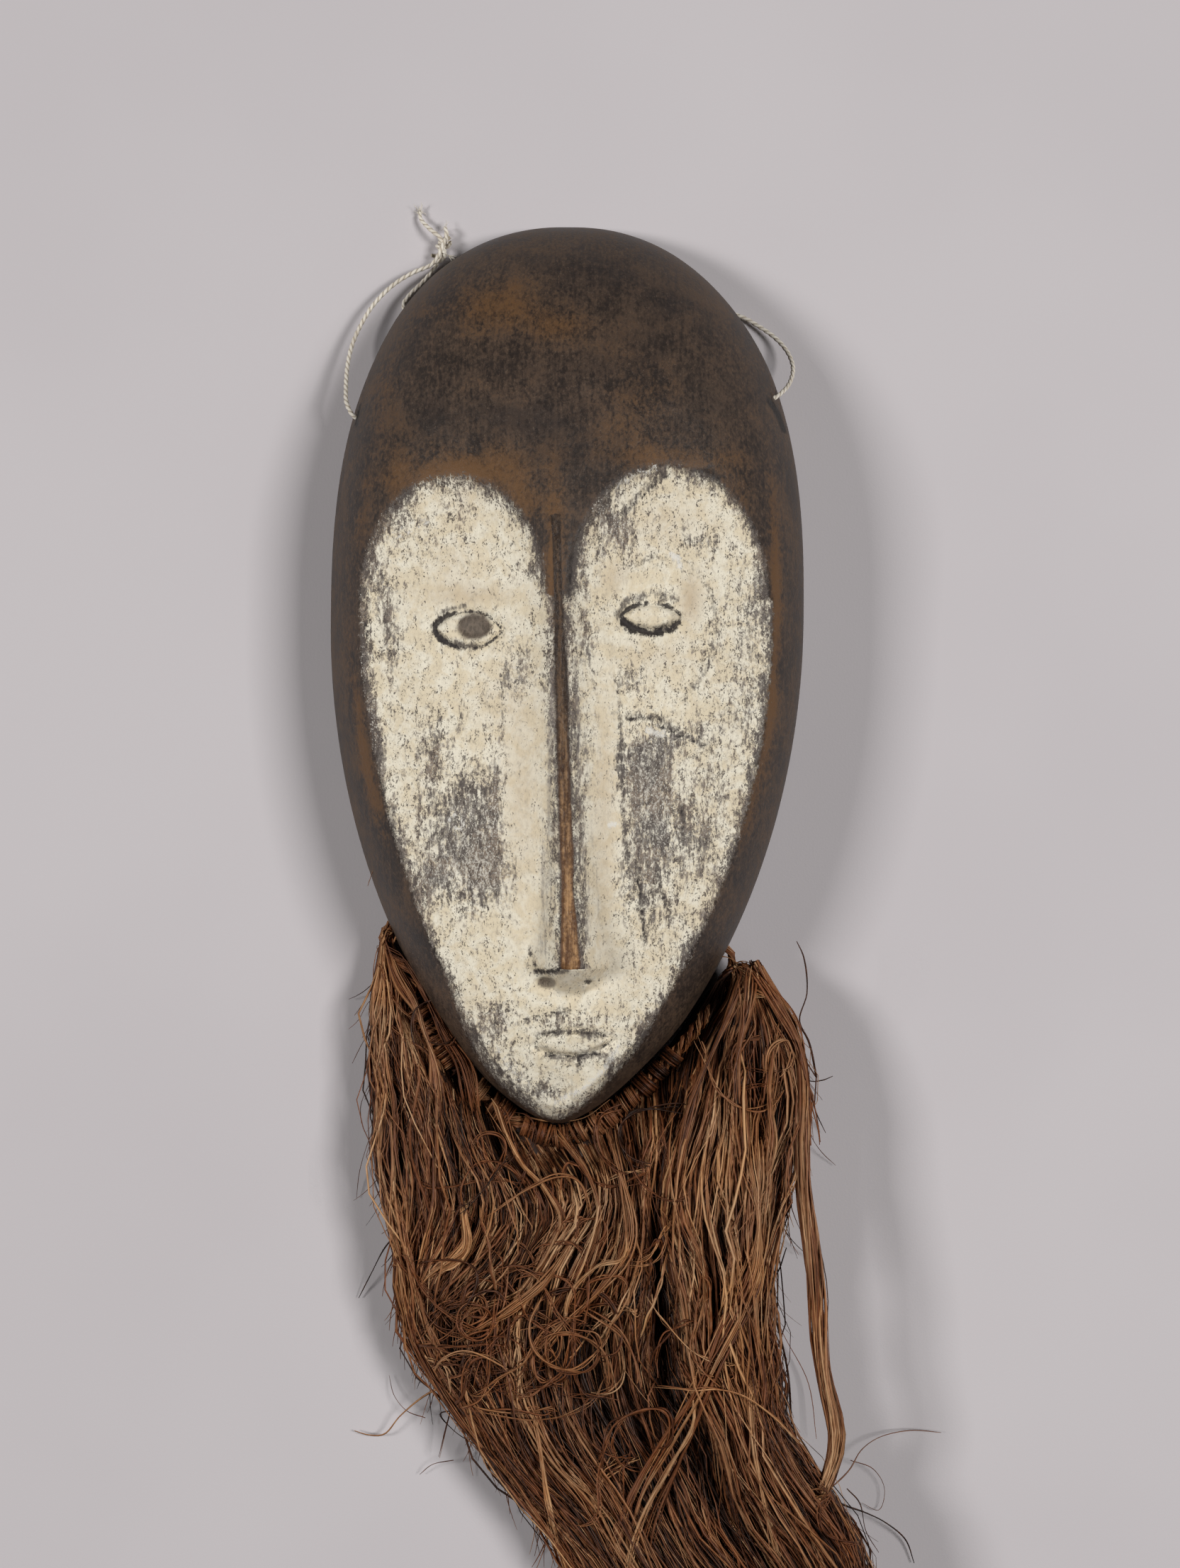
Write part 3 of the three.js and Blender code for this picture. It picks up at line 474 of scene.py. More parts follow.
def carved(x, y):
    """The outside of the mask, with its eyes, mouth, nostrils and tool marks."""
    z = carving(x, y)
    inside = inside_face(x, y)
    for eye, rise, groove in ALMONDS:
        s, v = inside_almond(x, y, eye)
        below = ease(-0.4, 0.4, -v / eye["height"])
        width = 0.42 + 0.28 * below * (eye is not LEFT_EYE)
        z = z + rise * ease(-0.15, 0.85, s)
        z = z - groove * bell(s + width + 0.1, width)
    z = z - EYE_PIT[4] * np.clip(1.0 - oval(x, y, EYE_PIT) ** 2, 0.0, 1.0) ** 0.7
    for hole in NOSTRILS:
        z = z - hole[4] * np.exp(-(oval(x, y, hole) ** 1.6))
    ring = np.hypot(x - RIDGE_MIDDLE[0], (y - RIDGE_MIDDLE[1]) * 0.95)
    z = z + RIDGE_RISE * bell(ring - RIDGE_RADIUS, RIDGE_WIDTH) * ease(0.0, 3.0, inside)
    z = z - CUT_DEPTH * strokes(x, y, INK_AND_SHADE)
    outside = 1.0 - ease(-1.0, 1.5, inside)
    facets = ripple(x, y, 6.5, 11) * 0.10 + ripple(x, y, 2.4, 12) * 0.035
    return z + facets * (0.55 + 0.45 * outside) * ease(0.0, 6.0, z)


def rim_z(y):
    start, end, rise = RIM_RELIEF
    return rise * np.clip((y - start) / (end - start), 0.0, 1.0)


def spread_by(density, count):
    """Positions from 0 to 1, closer together where the density is higher."""
    t = np.linspace(0.0, 1.0, 4001)
    total = np.concatenate([[0.0], np.cumsum((density(t[1:]) + density(t[:-1])) / 2.0)])
    return np.interp(np.linspace(0.0, total[-1], count), total, t)


def row_density(t):
    """Rows are closer at the eyes, the mouth, the nostrils and both ends."""
    y = mix(CHIN_Y, CROWN_Y, t)
    near = sum(bell(y - at, width) for at, width in ((9.0, 5.0), (MOUTH["y"], 5.0), (-73.5, 4.0)))
    return 1.0 + 1.5 * near + 4.0 * (bell(t, 0.03) + bell(1.0 - t, 0.03))


def column_density(r):
    """Columns are closer at the nose, the eyes, the heart's edge and the rim."""
    return (1.0 + 1.6 * bell(r, 0.12) + 0.9 * bell(r - 0.37, 0.14) + 0.5 * bell(r - 0.83, 0.04)
            + 0.25 / np.sqrt(1.0005 - r))


def section(y, low, top, narrowed, power):
    """Height of a section, and its half width where the flat rim cuts it off."""
    height = np.maximum(dome_height(y, top), TINY)
    cut = np.clip(low / height, 0.0, 0.999) ** (1.0 / SECTION_ROOT)
    return height, outline_half(y) * narrowed * (1.0 - cut) ** (1.0 / power)


def outer_sheet(share):
    """Rows of points over the outside, from the left rim to the right one."""
    y = mix(CHIN_Y, CROWN_Y - 0.15, share)[:, None]
    side = spread_by(column_density, MASK_COLUMNS)
    low = rim_z(y)
    _, half = section(y, low, DOME_HEIGHT, 1.0, section_power(y))
    x = axis_x(y) + np.concatenate([-side[:0:-1], side])[None, :] * half
    y = np.broadcast_to(y, x.shape)
    z = np.maximum(carved(x, y), np.broadcast_to(low, x.shape))
    z[:, 0] = z[:, -1] = low[:, 0]
    return np.stack([x, y, z], axis=2)


def inner_sheet(share):
    """Rows of points over the hollow, from the left rim to the right one."""
    y = mix(CHIN_Y + WALL, CROWN_Y - WALL, share[:, None])
    outer_y = mix(CHIN_Y, CROWN_Y, share[:, None])
    low = rim_z(y)
    narrowed = 1.0 - WALL / HALF_WIDTH
    height, half = section(outer_y, low, HOLLOW_DEPTH, narrowed, HOLLOW_POWER)
    r = np.sin(np.linspace(-0.5, 0.5, 2 * HOLLOW_COLUMNS - 1) * math.pi)[None, :]
    x = axis_x(outer_y) + r * half
    full = np.maximum(outline_half(outer_y) * narrowed, TINY)
    z = height * arc(np.abs(x - axis_x(outer_y)) / full, HOLLOW_POWER, SECTION_ROOT)
    y = np.broadcast_to(y, x.shape)
    marks = ripple(x, y * 0.6, 7.0, 21) * 0.45 + ripple(x, y, 3.0, 22) * 0.12
    z = np.maximum(z + marks * ease(0.0, 8.0, z - low), low)
    z[:, 0] = z[:, -1] = low[:, 0]
    return np.stack([x, y, z], axis=2)


def grid_faces(rows, columns, start=0, flip=False):
    j, i = np.meshgrid(np.arange(rows - 1), np.arange(columns - 1), indexing="ij")
    a = start + j * columns + i
    quad = np.stack([a, a + 1, a + columns + 1, a + columns], axis=-1).reshape(-1, 4)
    return quad[:, ::-1] if flip else quad


# Making objects
def row_shift():
    """From the mask frame's zero to the row's, by the box of the CAD's mask."""
    low, high = (np.array(c) * 1000.0 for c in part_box("wooden_mask"))
    y = np.linspace(CHIN_Y, CROWN_Y, 2001)
    middle = ((axis_x(y) + outline_half(y)).max() + (axis_x(y) - outline_half(y)).min()) / 2.0
    return np.array([(low[0] + high[0]) / 2.0 - middle, low[1] - CHIN_Y, 0.0])


SHIFT = row_shift()


def to_row(points):
    """From the mask frame in millimetres to the row frame in metres."""
    return (np.asarray(points, float) + SHIFT) / 1000.0


def add_object(name, data):
    made = bpy.data.objects.new(name, data)
    bpy.context.scene.collection.objects.link(made)
    return made


def set_fields(mesh, fields):
    """Numbers at each point that the materials read."""
    for key, values in fields.items():
        layer = mesh.attributes.new(key, "FLOAT", "POINT")
        layer.data.foreach_set("value", np.asarray(values, np.float32).ravel())


def make_mesh(name, points, faces, material, fields=None, smooth=True):
    mesh = bpy.data.meshes.new(name)
    points = to_row(np.asarray(points).reshape(-1, 3))
    faces = np.asarray(faces)
    mesh.vertices.add(len(points))
    mesh.vertices.foreach_set("co", points.astype(np.float32).ravel())
    mesh.loops.add(faces.size)
    mesh.loops.foreach_set("vertex_index", faces.astype(np.int32).ravel())
    mesh.polygons.add(len(faces))
    starts = np.arange(0, faces.size, faces.shape[1], dtype=np.int32)
    mesh.polygons.foreach_set("loop_start", starts)
    mesh.polygons.foreach_set("use_smooth", np.full(len(faces), smooth))
    mesh.update(calc_edges=True)
    mesh.validate()
    set_fields(mesh, fields or {})
    mesh.materials.append(material)
    return add_object(name, mesh)


def claim(piece, slot, *nodes):
    """Every piece rides on the one body; its slot is not used."""
    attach(piece, "root")
    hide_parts(*nodes)


class Shader:
    """A material and short ways to make its nodes. Sizes are in millimetres."""

    def __init__(self, name):
        self.material = bpy.data.materials.new(name)
        self.material.use_nodes = True
        self.tree = self.material.node_tree
        self.tree.nodes.clear()
        self.place = self.node("ShaderNodeTexCoord").outputs["Object"]

    def node(self, kind, values=(), **settings):
        node = self.tree.nodes.new(kind)
        for key, value in settings.items():
            setattr(node, key, value)
        for key, value in dict(values).items():
            if isinstance(value, bpy.types.NodeSocket):
                self.tree.links.new(value, node.inputs[key])
            else:
                node.inputs[key].default_value = value
        return node

    def math(self, operation, *values):
        return self.node("ShaderNodeMath", enumerate(values), operation=operation).outputs[0]

    def add(self, *values):
        total = values[0]
        for value in values[1:]:
            total = self.math("ADD", total, value)
        return total

    def times(self, a, b):
        return self.math("MULTIPLY", a, b)

    def rest(self, value):
        return self.math("SUBTRACT", 1.0, value)

    def lean(self, noise, share):
        """How far a noise is from its middle, times this share."""
        return self.times(self.add(noise, -0.5), share)

    def step(self, value, low, high, to=(0.0, 1.0)):
        """Smoothly from to[0] at low to to[1] at high."""
        values = {"Value": value, "From Min": low, "From Max": high,
                  "To Min": to[0], "To Max": to[1]}
        return self.node("ShaderNodeMapRange", values, interpolation_type="SMOOTHSTEP").outputs[0]

    def field(self, name):
        return self.node("ShaderNodeAttribute", attribute_name=name).outputs["Fac"]

    def noise(self, size, detail=3.0, rough=0.55, twist=0.0):
        scale = [1000.0 / s for s in (size if hasattr(size, "__len__") else (size,) * 3)]
        at = self.node("ShaderNodeMapping", {"Vector": self.place, "Scale": scale})
        values = {"Vector": at.outputs[0], "Scale": 1.0, "Detail": detail,
                  "Roughness": rough, "Distortion": twist}
        return self.node("ShaderNodeTexNoise", values).outputs["Fac"]

    def blend(self, share, a, b, how="MIX"):
        a, b = (v if isinstance(v, bpy.types.NodeSocket) else (*v, 1.0) for v in (a, b))
        node = self.node("ShaderNodeMix", {0: share, 6: a, 7: b}, data_type="RGBA", blend_type=how)
        return node.outputs[2]

    def cover(self, under, color, value, low, high, most=1.0):
        """Lay a color over another, from none at low to the most at high."""
        return self.blend(self.step(value, low, high, (0.0, most)), under, color)

    def bump(self, height, depth):
        values = {"Height": height, "Distance": depth / 1000.0, "Strength": 1.0}
        return self.node("ShaderNodeBump", values).outputs[0]

    def finish(self, color, rough, normal, specular):
        values = {"Base Color": color, "Roughness": rough, "Normal": normal,
                  "Specular IOR Level": specular}
        surface = self.node("ShaderNodeBsdfPrincipled", values).outputs[0]
        self.node("ShaderNodeOutputMaterial", {"Surface": surface})
        return self.material


def painted_wood():
    s = Shader("painted_wood")
    face, crest, thin, smooth, warm = map(s.field, ("face", "crest", "thin", "smooth", "warm"))
    ink, chalk, rust, soot, flank = map(s.field, ("ink", "chalk", "rust", "soot", "flank"))
    inner, wall, socket, tip, dirt = map(s.field, ("inner", "wall", "socket", "tip", "dirt"))

    finest = s.noise((0.34, 0.5, 0.5), 2.0, 0.6)
    grit = s.noise((0.8, 1.3, 1.3), 4.0, 0.68, 0.3)
    chips = s.noise((1.1, 2.6, 2.6), 5.0, 0.72, 0.9)
    brush = s.noise((1.5, 9.0, 9.0), 4.0, 0.66, 0.4)
    blot = s.noise(4.5, 4.0, 0.6, 0.4)
    broad = s.noise(11.0, 5.0, 0.66, 0.6)
    grain = s.noise((1.0, 14.0, 14.0), 4.0, 0.6)
    thread = s.noise((1.0, 16.0, 16.0), 4.0, 0.62, 0.3)

    # Wood: soot over brown, rubbed to a warmer brown in places, browner on the walls
    mottle = s.add(s.times(broad, 0.36), s.times(grit, 0.44), s.times(grain, 0.20))
    wood = s.cover((0.029, 0.0215, 0.018), (0.098, 0.064, 0.044), mottle, 0.40, 0.60)
    worn = s.add(rust, s.lean(broad, 1.5), s.lean(grit, 1.6), -0.3)
    wood = s.cover(wood, (0.150, 0.076, 0.031), worn, -0.25, 0.75)
    dusk = s.add(soot, s.lean(grit, 1.4), s.lean(blot, 1.0), -0.22)
    wood = s.cover(wood, (0.028, 0.022, 0.021), dusk, -0.1, 0.8, 0.7)
    side = s.cover((0.036, 0.024, 0.017), (0.096, 0.060, 0.036), mottle, 0.42, 0.58)
    wood = s.blend(s.times(wall, 0.80), wood, side)
    # Painted shade: near black in the mouths of the string holes
    wood = s.cover(wood, (0.006, 0.005, 0.004), s.field("slot"), 0.2, 0.8, 0.9)
    fleck = s.add(s.times(finest, 0.6), s.times(grit, 0.4))
    wood = s.cover(wood, (0.17, 0.125, 0.092), fleck, 0.55, 0.68, 0.4)

    # Kaolin: cream, tan in places, worn to grey-brown in smears, with chips, threads, rubbed-in
    # dirt, cracks, painted shade in grooves, creases and nostrils, the left eye's pit, chalky
    # drops, painted highlights
    cream = s.cover((0.83, 0.725, 0.535), (0.925, 0.865, 0.715), blot, 0.38, 0.62)
    # Tan where the paint is warmer, and tan painted shade round the eyes
    cream = s.blend(s.times(warm, 0.8), cream, (0.58, 0.45, 0.30))
    cream = s.cover(cream, (0.50, 0.43, 0.33), grit, 0.42, 0.66, 0.30)
    under = s.cover((0.110, 0.094, 0.090), (0.205, 0.155, 0.122), broad, 0.42, 0.58)
    under = s.cover(under, (0.36, 0.315, 0.275), grit, 0.52, 0.70)
    calm = s.add(0.56, s.times(smooth, -0.30))
    edge = s.step(face, 0.0, 4.0, (0.55, 0.0))
    rubs = (s.times(s.lean(noise, share), calm)
            for noise, share in ((chips, 1.2), (brush, 3.0), (grit, 3.6)))
    wear = s.add(s.times(thin, 0.80), edge, *rubs, s.times(thin, s.lean(thread, 1.2)))
    wear = s.add(wear, s.lean(blot, -0.7), s.times(smooth, -0.18), s.times(flank, 0.10))
    paint = s.cover(cream, under, wear, 0.20, 0.74, 0.92)
    chipped = s.add(s.times(chips, 0.55), s.times(finest, 0.45), s.times(thin, 0.06),
                    s.times(smooth, -0.05), s.times(edge, 0.12))
    chipped = s.step(chipped, 0.553, 0.62, (0.0, 0.9))
    paint = s.blend(chipped, paint, (0.085, 0.066, 0.058))
    flecks = s.add(s.times(finest, 0.5), s.times(chips, -0.35), s.times(thin, 0.10), 0.33)
    paint = s.cover(paint, (0.80, 0.755, 0.66), flecks, 0.50, 0.57, 0.75)
    threads = s.add(flank, s.lean(thread, 2.2), s.lean(grit, 1.0))
    paint = s.cover(paint, (0.30, 0.265, 0.24), threads, 0.35, 1.35, 0.8)
    # Rubbed-in dirt, and painted shade in grooves and creases
    rubbed = s.add(dirt, s.lean(grit, 1.8), s.lean(brush, 1.2))
    paint = s.cover(paint, (0.105, 0.088, 0.080), rubbed, 0.15, 0.85, 0.88)
    # Dark cracks and outlines, and painted shade in grooves, creases and nostrils
    shadow = s.add(ink, s.lean(grit, 1.3), s.lean(finest, 0.8))
    paint = s.cover(paint, (0.036, 0.030, 0.029), shadow, 0.34, 0.86, 0.95)
    pit = s.cover((0.095, 0.072, 0.056), (0.175, 0.135, 0.105), grit, 0.40, 0.62)
    paint = s.blend(s.times(socket, 0.95), paint, pit)
    # Chalky drops, and painted highlights
    drops = s.add(chalk, s.lean(grit, 1.8), s.lean(finest, 0.8))
    paint = s.cover(paint, (0.86, 0.83, 0.76), drops, 0.36, 0.85, 0.9)

    # Paint inside a ragged edge, the nose's bare ridge, polished and with a painted highlight along
    # its top that is brightest towards the tip, and raw wood in the hollow
    ragged = s.add(s.lean(grit, 4.2), s.lean(finest, 2.4))
    painted = s.step(s.add(face, ragged), -0.35, 0.45)
    color = s.blend(painted, wood, paint)
    bare = s.step(s.add(crest, s.lean(brush, 1.4), s.lean(finest, 0.6)), -0.25, 0.30)
    polish_and_highlight = s.step(s.add(s.times(grain, 0.60), s.times(grit, 0.40)), 0.40, 0.62)
    dark = s.blend(tip, (0.030, 0.020, 0.015), (0.120, 0.056, 0.025))
    light = s.blend(tip, (0.125, 0.075, 0.043), (0.50, 0.290, 0.135))
    polish_and_highlight = s.times(polish_and_highlight, s.step(s.add(crest, s.lean(grit, 1.6)), 0.1, 1.0))
    color = s.blend(bare, color, s.blend(polish_and_highlight, dark, light))
    raw = s.cover((0.085, 0.052, 0.031), (0.16, 0.10, 0.06), grain, 0.38, 0.62)
    color = s.blend(inner, color, raw)

    on_paint = s.times(s.times(painted, s.rest(bare)), s.rest(chipped))
    rough = s.add(s.times(on_paint, 0.26), s.step(mottle, 0.4, 0.6, (0.46, 0.58)),
                  s.times(bare, -0.16), s.times(inner, 0.2))
    relief = s.add(s.times(on_paint, 0.5), s.times(grit, 0.75), s.times(finest, 0.30),
                   s.times(grain, 0.4), s.times(ink, -0.6))
    return s.finish(color, rough, s.bump(relief, 0.18), 0.30)


# How dark the lines round the almonds are above and below: dark outlines, partly painted shade in
# the grooves round them
ALMOND_INK_AND_SHADE = ((LEFT_EYE, 1.0, 1.1), (RIGHT_EYE, 1.1, 1.2), (MOUTH, 0.7, 0.7))
# How dark the painted shade in each nostril is
NOSTRIL_SHADE = (0.55, 0.95)
FAR_OUTSIDE = -3.0
# The nose's bare ridge: where it starts, its half width, where it widens, and at the tip
BARE_NOSE_TOP = 34.0
BARE_HALF, BARE_WIDER, BARE_TIP = (1.0, 1.42), (22.0, -6.0), (-50.0, -69.0, 0.75)
# Where the bare ridge turns redder and its painted highlight brighter, towards the tip
BARE_TIP_HIGHLIGHT = (2.0, -64.0)
WALL_BROWN = (30.0, 16.0)


def almond_ink_and_shade(x, y, eye, high, low, rough_edge):
    s, v = inside_almond(x, y, eye)
    under = ease(-0.3, 0.3, -v / eye["height"])
    to_left = ease(0.1, 0.9, (eye["x"] - x) / eye["length"])
    width = 0.5 + (0.45 * under + 0.15 if eye is RIGHT_EYE else 0.3 * to_left) + 0.15 * rough_edge
    strength = mix(high, low, under) * (0.85 + 0.45 * ripple(x, y, 2.6, 33))
    strength = strength + 0.3 * to_left * (eye is not MOUTH)
    strength = strength * ease(1.18, 1.02, np.abs(x - eye["x"]) / eye["length"])
    return strength * bell(s + width * 0.9, width)


def mask_fields(x, y, z):
    """What the mask's material needs to know at each point."""
    inside = inside_face(x, y)
    from_nose = np.abs(x - nose_at(y)[0])
    below = ease(NOSE_TIP["y"] - 0.6, NOSE_TIP["y"] + 0.2, y)
    half = mix(*BARE_HALF, ease(*BARE_WIDER, y)) + grow(y, *BARE_TIP)
    crest = np.where(y < BARE_NOSE_TOP, half - from_nose, FAR_OUTSIDE)
    rough_edge = ripple(x, y, 1.5, 31)
    ink = strokes(x, y, INK_AND_SHADE) * (0.85 + 0.5 * rough_edge)
    for eye, high, low in ALMOND_INK_AND_SHADE:
        ink = np.maximum(ink, almond_ink_and_shade(x, y, eye, high, low, rough_edge))
    for hole, strength in zip(NOSTRILS, NOSTRIL_SHADE):
        ink = np.maximum(ink, strength * np.exp(-(oval(x, y, hole) ** 1.5)))
    pupil = (*EYE_PIT[:3], 1.2 * EYE_PIT[3])
    socket = ease(1.30, 0.70, oval(x, y, pupil) + 0.18 * rough_edge)
    # Painted shade in the left nostril, in the colour of the eye's pit
    socket = np.maximum(socket, 0.8 * ease(1.2, 0.6, oval(x, y, NOSTRILS[0])))
    within = np.abs(x - axis_x(y)) < outline_half(y) - 1.0
    painted = mix(inside, inside_chin_paint(x, y), ease(*PAINT_CHIN_FROM, y))
    beside_nose = (y < LOBE_Y) & (y > NOSE_TIP["y"]) & (from_nose < 6.0)
    return {
        "face": np.clip(np.where(beside_nose, from_nose - half + 0.1, painted), -20.0, 20.0),
        "crest": mix(np.full_like(crest, FAR_OUTSIDE), crest, below), "thin": patches(x, y, THIN),
        "smooth": np.minimum(patches(x, y, SMOOTH), 1.2),
        "warm": np.minimum(patches(x, y, WARM_AND_SHADE), 1.0), "ink": ink, "chalk": strokes(x, y, CHALK_AND_HIGHLIGHTS),
        "rust": patches(x, y, RUST), "soot": patches(x, y, SOOT), "flank": strokes(x, y, FLANK),
        "inner": ease(1.5, 2.5, carving(x, y) - z) * within,
        "wall": ease(*WALL_BROWN, z) * (inside < 0.0), "socket": socket,
        "tip": ease(*BARE_TIP_HIGHLIGHT, y), "dirt": strokes(x, y, DIRT_AND_SHADE), "slot": strokes(x, y, HOLE_SHADE_STROKES),
    }


HOLE_RADIUS = 2.0
HOLE_SIDES = 20
STRING_HOLES = (((-40.0, 60.0, 12.5), (-50.6, 60.0, 16.0)),
                ((39.5, 63.8, 14.5), (49.9, 64.3, 18.0)))
JAW_CORD_Z = 5.0
JAW_HOLE_Y = (-62.5, -68.5)
JAW_HOLE_REACH = 12.0


def jaw_point(side, y, offset):
    slant = outline_half(y + 0.5) - outline_half(y - 0.5)
    length = np.hypot(1.0, slant)
    x = axis_x(y) + side * outline_half(y) + side * offset / length
    return x, y - slant * offset / length


def jaw_holes():
    for side, y in zip((-1, 1), JAW_HOLE_Y):
        inside, mouth = (jaw_point(side, y, d) for d in (-JAW_HOLE_REACH, 0.5))
        yield (*inside, JAW_CORD_Z), (*mouth, JAW_CORD_Z)


def drills():
    """One object with a rod through each hole."""
    points, faces = [], []
    angles = np.linspace(0.0, 2.0 * math.pi, HOLE_SIDES, endpoint=False)
    for k, (inside, mouth) in enumerate((*STRING_HOLES, *jaw_holes())):
        a, b = np.array(inside), np.array(mouth)
        along = unit(b - a)
        side = unit(np.cross(along, (0.0, 0.0, 1.0)))
        ring = np.outer(np.cos(angles), side) + np.outer(np.sin(angles), np.cross(side, along))
        ring = ring * HOLE_RADIUS
        points += [a - along + ring, b + along * 5.0 + ring]
        first = [2 * k * HOLE_SIDES + i for i in range(HOLE_SIDES)]
        last = [i + HOLE_SIDES for i in first]
        around = zip(first, first[1:] + first[:1], last[1:] + last[:1], last)
        faces += [*around, first[::-1], last]
    mesh = bpy.data.meshes.new("drills")
    mesh.from_pydata(to_row(np.concatenate(points)).tolist(), [], faces)
    mesh.validate()
    return add_object("drills", mesh)


def make_mask():
    share = spread_by(row_density, MASK_ROWS)
    outer, inner = outer_sheet(share), inner_sheet(share)
    rows, columns = outer.shape[:2]
    inner_columns = inner.shape[1]
    offset = rows * columns
    j = np.arange(rows - 1)
    left = np.stack([j * columns, (j + 1) * columns,
                     offset + (j + 1) * inner_columns, offset + j * inner_columns], axis=1)
    right = left + np.array([columns - 1, columns - 1, inner_columns - 1, inner_columns - 1])
    faces = [grid_faces(rows, columns), grid_faces(rows, inner_columns, offset, flip=True),
             left, right[:, ::-1]]
    points = np.concatenate([outer.reshape(-1, 3), inner.reshape(-1, 3)])
    piece = make_mesh("carved_mask", points, np.concatenate(faces), painted_wood())

    rods = drills()
    weld = piece.modifiers.new("weld", "WELD")
    weld.merge_threshold = TINY
    cut = piece.modifiers.new("holes", "BOOLEAN")
    cut.operation, cut.solver, cut.object = "DIFFERENCE", "EXACT", rods
    graph = bpy.context.evaluated_depsgraph_get()
    mesh = bpy.data.meshes.new_from_object(piece.evaluated_get(graph))
    piece.modifiers.clear()
    piece.data = mesh
    bpy.data.objects.remove(rods)
    co = np.zeros(len(mesh.vertices) * 3, np.float32)
    mesh.vertices.foreach_get("co", co)
    set_fields(mesh, mask_fields(*(co.reshape(-1, 3) * 1000.0 - SHIFT).astype(float).T))
    claim(piece, "painted_wood", "wooden_mask")


# Camera, light and floor. Lamps: place in the mask frame, size in metres, watts
LAMPS = {
    "left_lamp": ((-1334.0, 40.0, 1358.0), (0.352, 0.48), 18.0),
    "right_lamp": ((1051.0, 40.0, 1587.0), (0.512, 0.576), 22.4),
}
LAMP_AIM = (0.0, -20.0, 0.0)
LAMP_COLOR = (1.0, 0.985, 0.97)
AIR_COLOR, AIR_STRENGTH = (0.93, 0.93, 1.0, 1.0), 0.004
FLOOR_HALF = 2500.0
FLOOR_DROP = 0.0002


def make_camera():
    camera = add_object("camera", bpy.data.cameras.new("camera"))
    camera.data.lens = LENS
    camera.data.clip_start, camera.data.clip_end = 0.01, 10.0
    camera.location = to_row(CAMERA)
    bpy.context.scene.camera = camera


def make_lamp(name, place, size, power):
    lamp = bpy.data.lights.new(name, "AREA")
    lamp.shape, lamp.size, lamp.size_y = "RECTANGLE", *size
    lamp.energy, lamp.color = power, LAMP_COLOR
    light = add_object(name, lamp)
    light.location = Vector(to_row(place))
    aim = Vector(to_row(LAMP_AIM)) - light.location
    light.rotation_euler = aim.to_track_quat("-Z", "Y").to_euler()


def make_studio():
    for name, lamp in LAMPS.items():
        make_lamp(name, *lamp)
    scene = bpy.context.scene
    scene.world = bpy.data.worlds.new("studio")
    scene.world.use_nodes = True
    air = scene.world.node_tree.nodes["Background"].inputs
    air["Color"].default_value, air["Strength"].default_value = AIR_COLOR, AIR_STRENGTH
    scene.view_settings.view_transform = "Standard"
    scene.view_settings.look = "None"

    s = Shader("floor")
    cloud = s.noise(160.0, 3.0, 0.5)
    weave = s.noise(0.6, 2.0, 0.5)
    color = s.cover((0.612, 0.581, 0.600), (0.637, 0.607, 0.625), cloud, 0.35, 0.65)
    s.finish(color, 0.9, s.bump(weave, 0.03), 0.1)
    corners = [(i * FLOOR_HALF, j * FLOOR_HALF, 0.0)
               for i, j in ((-1, -1), (1, -1), (1, 1), (-1, 1))]
    floor = make_mesh("floor", corners, [(0, 1, 2, 3)], s.material, smooth=False)
    floor.location.z = -FLOOR_DROP


# Smooth lines and fibres
def spline(points, step=None, count=None):
    """A centripetal Catmull-Rom curve through the points, in even steps."""
    p = np.asarray(points, float)
    p = np.vstack([2.0 * p[0] - p[1], p, 2.0 * p[-1] - p[-2]])
    gap = np.maximum(np.linalg.norm(np.diff(p, axis=0), axis=1), 1e-9) ** 0.5
    a, b, c = gap[:-2, None], gap[1:-1, None], gap[2:, None]
    p0, p1, p2, p3 = p[:-3], p[1:-2], p[2:-1], p[3:]
    leave = b * ((p1 - p0) / a - (p2 - p0) / (a + b) + (p2 - p1) / b)
    reach = b * ((p2 - p1) / b - (p3 - p1) / (b + c) + (p3 - p2) / c)
    t = np.linspace(0.0, 1.0, 24, endpoint=False)[:, None, None]
    curve = ((2 * t ** 3 - 3 * t ** 2 + 1) * p1 + (t ** 3 - 2 * t ** 2 + t) * leave
             + (3 * t ** 2 - 2 * t ** 3) * p2 + (t ** 3 - t ** 2) * reach)
    curve = np.vstack([curve.transpose(1, 0, 2).reshape(-1, p.shape[1]), p[-2]])
    along = np.concatenate([[0.0], np.cumsum(np.linalg.norm(np.diff(curve, axis=0), axis=1))])
    count = count or max(3, int(round(along[-1] / step)) + 1)
    even = np.linspace(0.0, along[-1], count)
    return np.stack([np.interp(even, along, curve[:, k]) for k in range(p.shape[1])], axis=1)


def frames(lines):
    """Side and up at each point of lines shaped (count, points, 3)."""
    along = np.gradient(lines, axis=1)
    along /= np.maximum(np.linalg.norm(along, axis=2, keepdims=True), 1e-9)
    side = np.cross(along, np.broadcast_to((0.0, 0.0, 1.0), along.shape))
    steep = np.linalg.norm(side, axis=2, keepdims=True)
    side = np.where(steep > 0.05, side / np.maximum(steep, 1e-9), (1.0, 0.0, 0.0))
    return side, np.cross(side, along)


def ring_faces(count, length, sides):
    """Quads round tubes whose points are ordered by tube, ring and side."""
    n, j, i = np.meshgrid(np.arange(count), np.arange(length - 1), np.arange(sides), indexing="ij")
    a, b = ((n * length + j) * sides + k for k in (i, (i + 1) % sides))
    return np.stack([a, b, b + sides, a + sides], axis=-1).reshape(-1, 4)


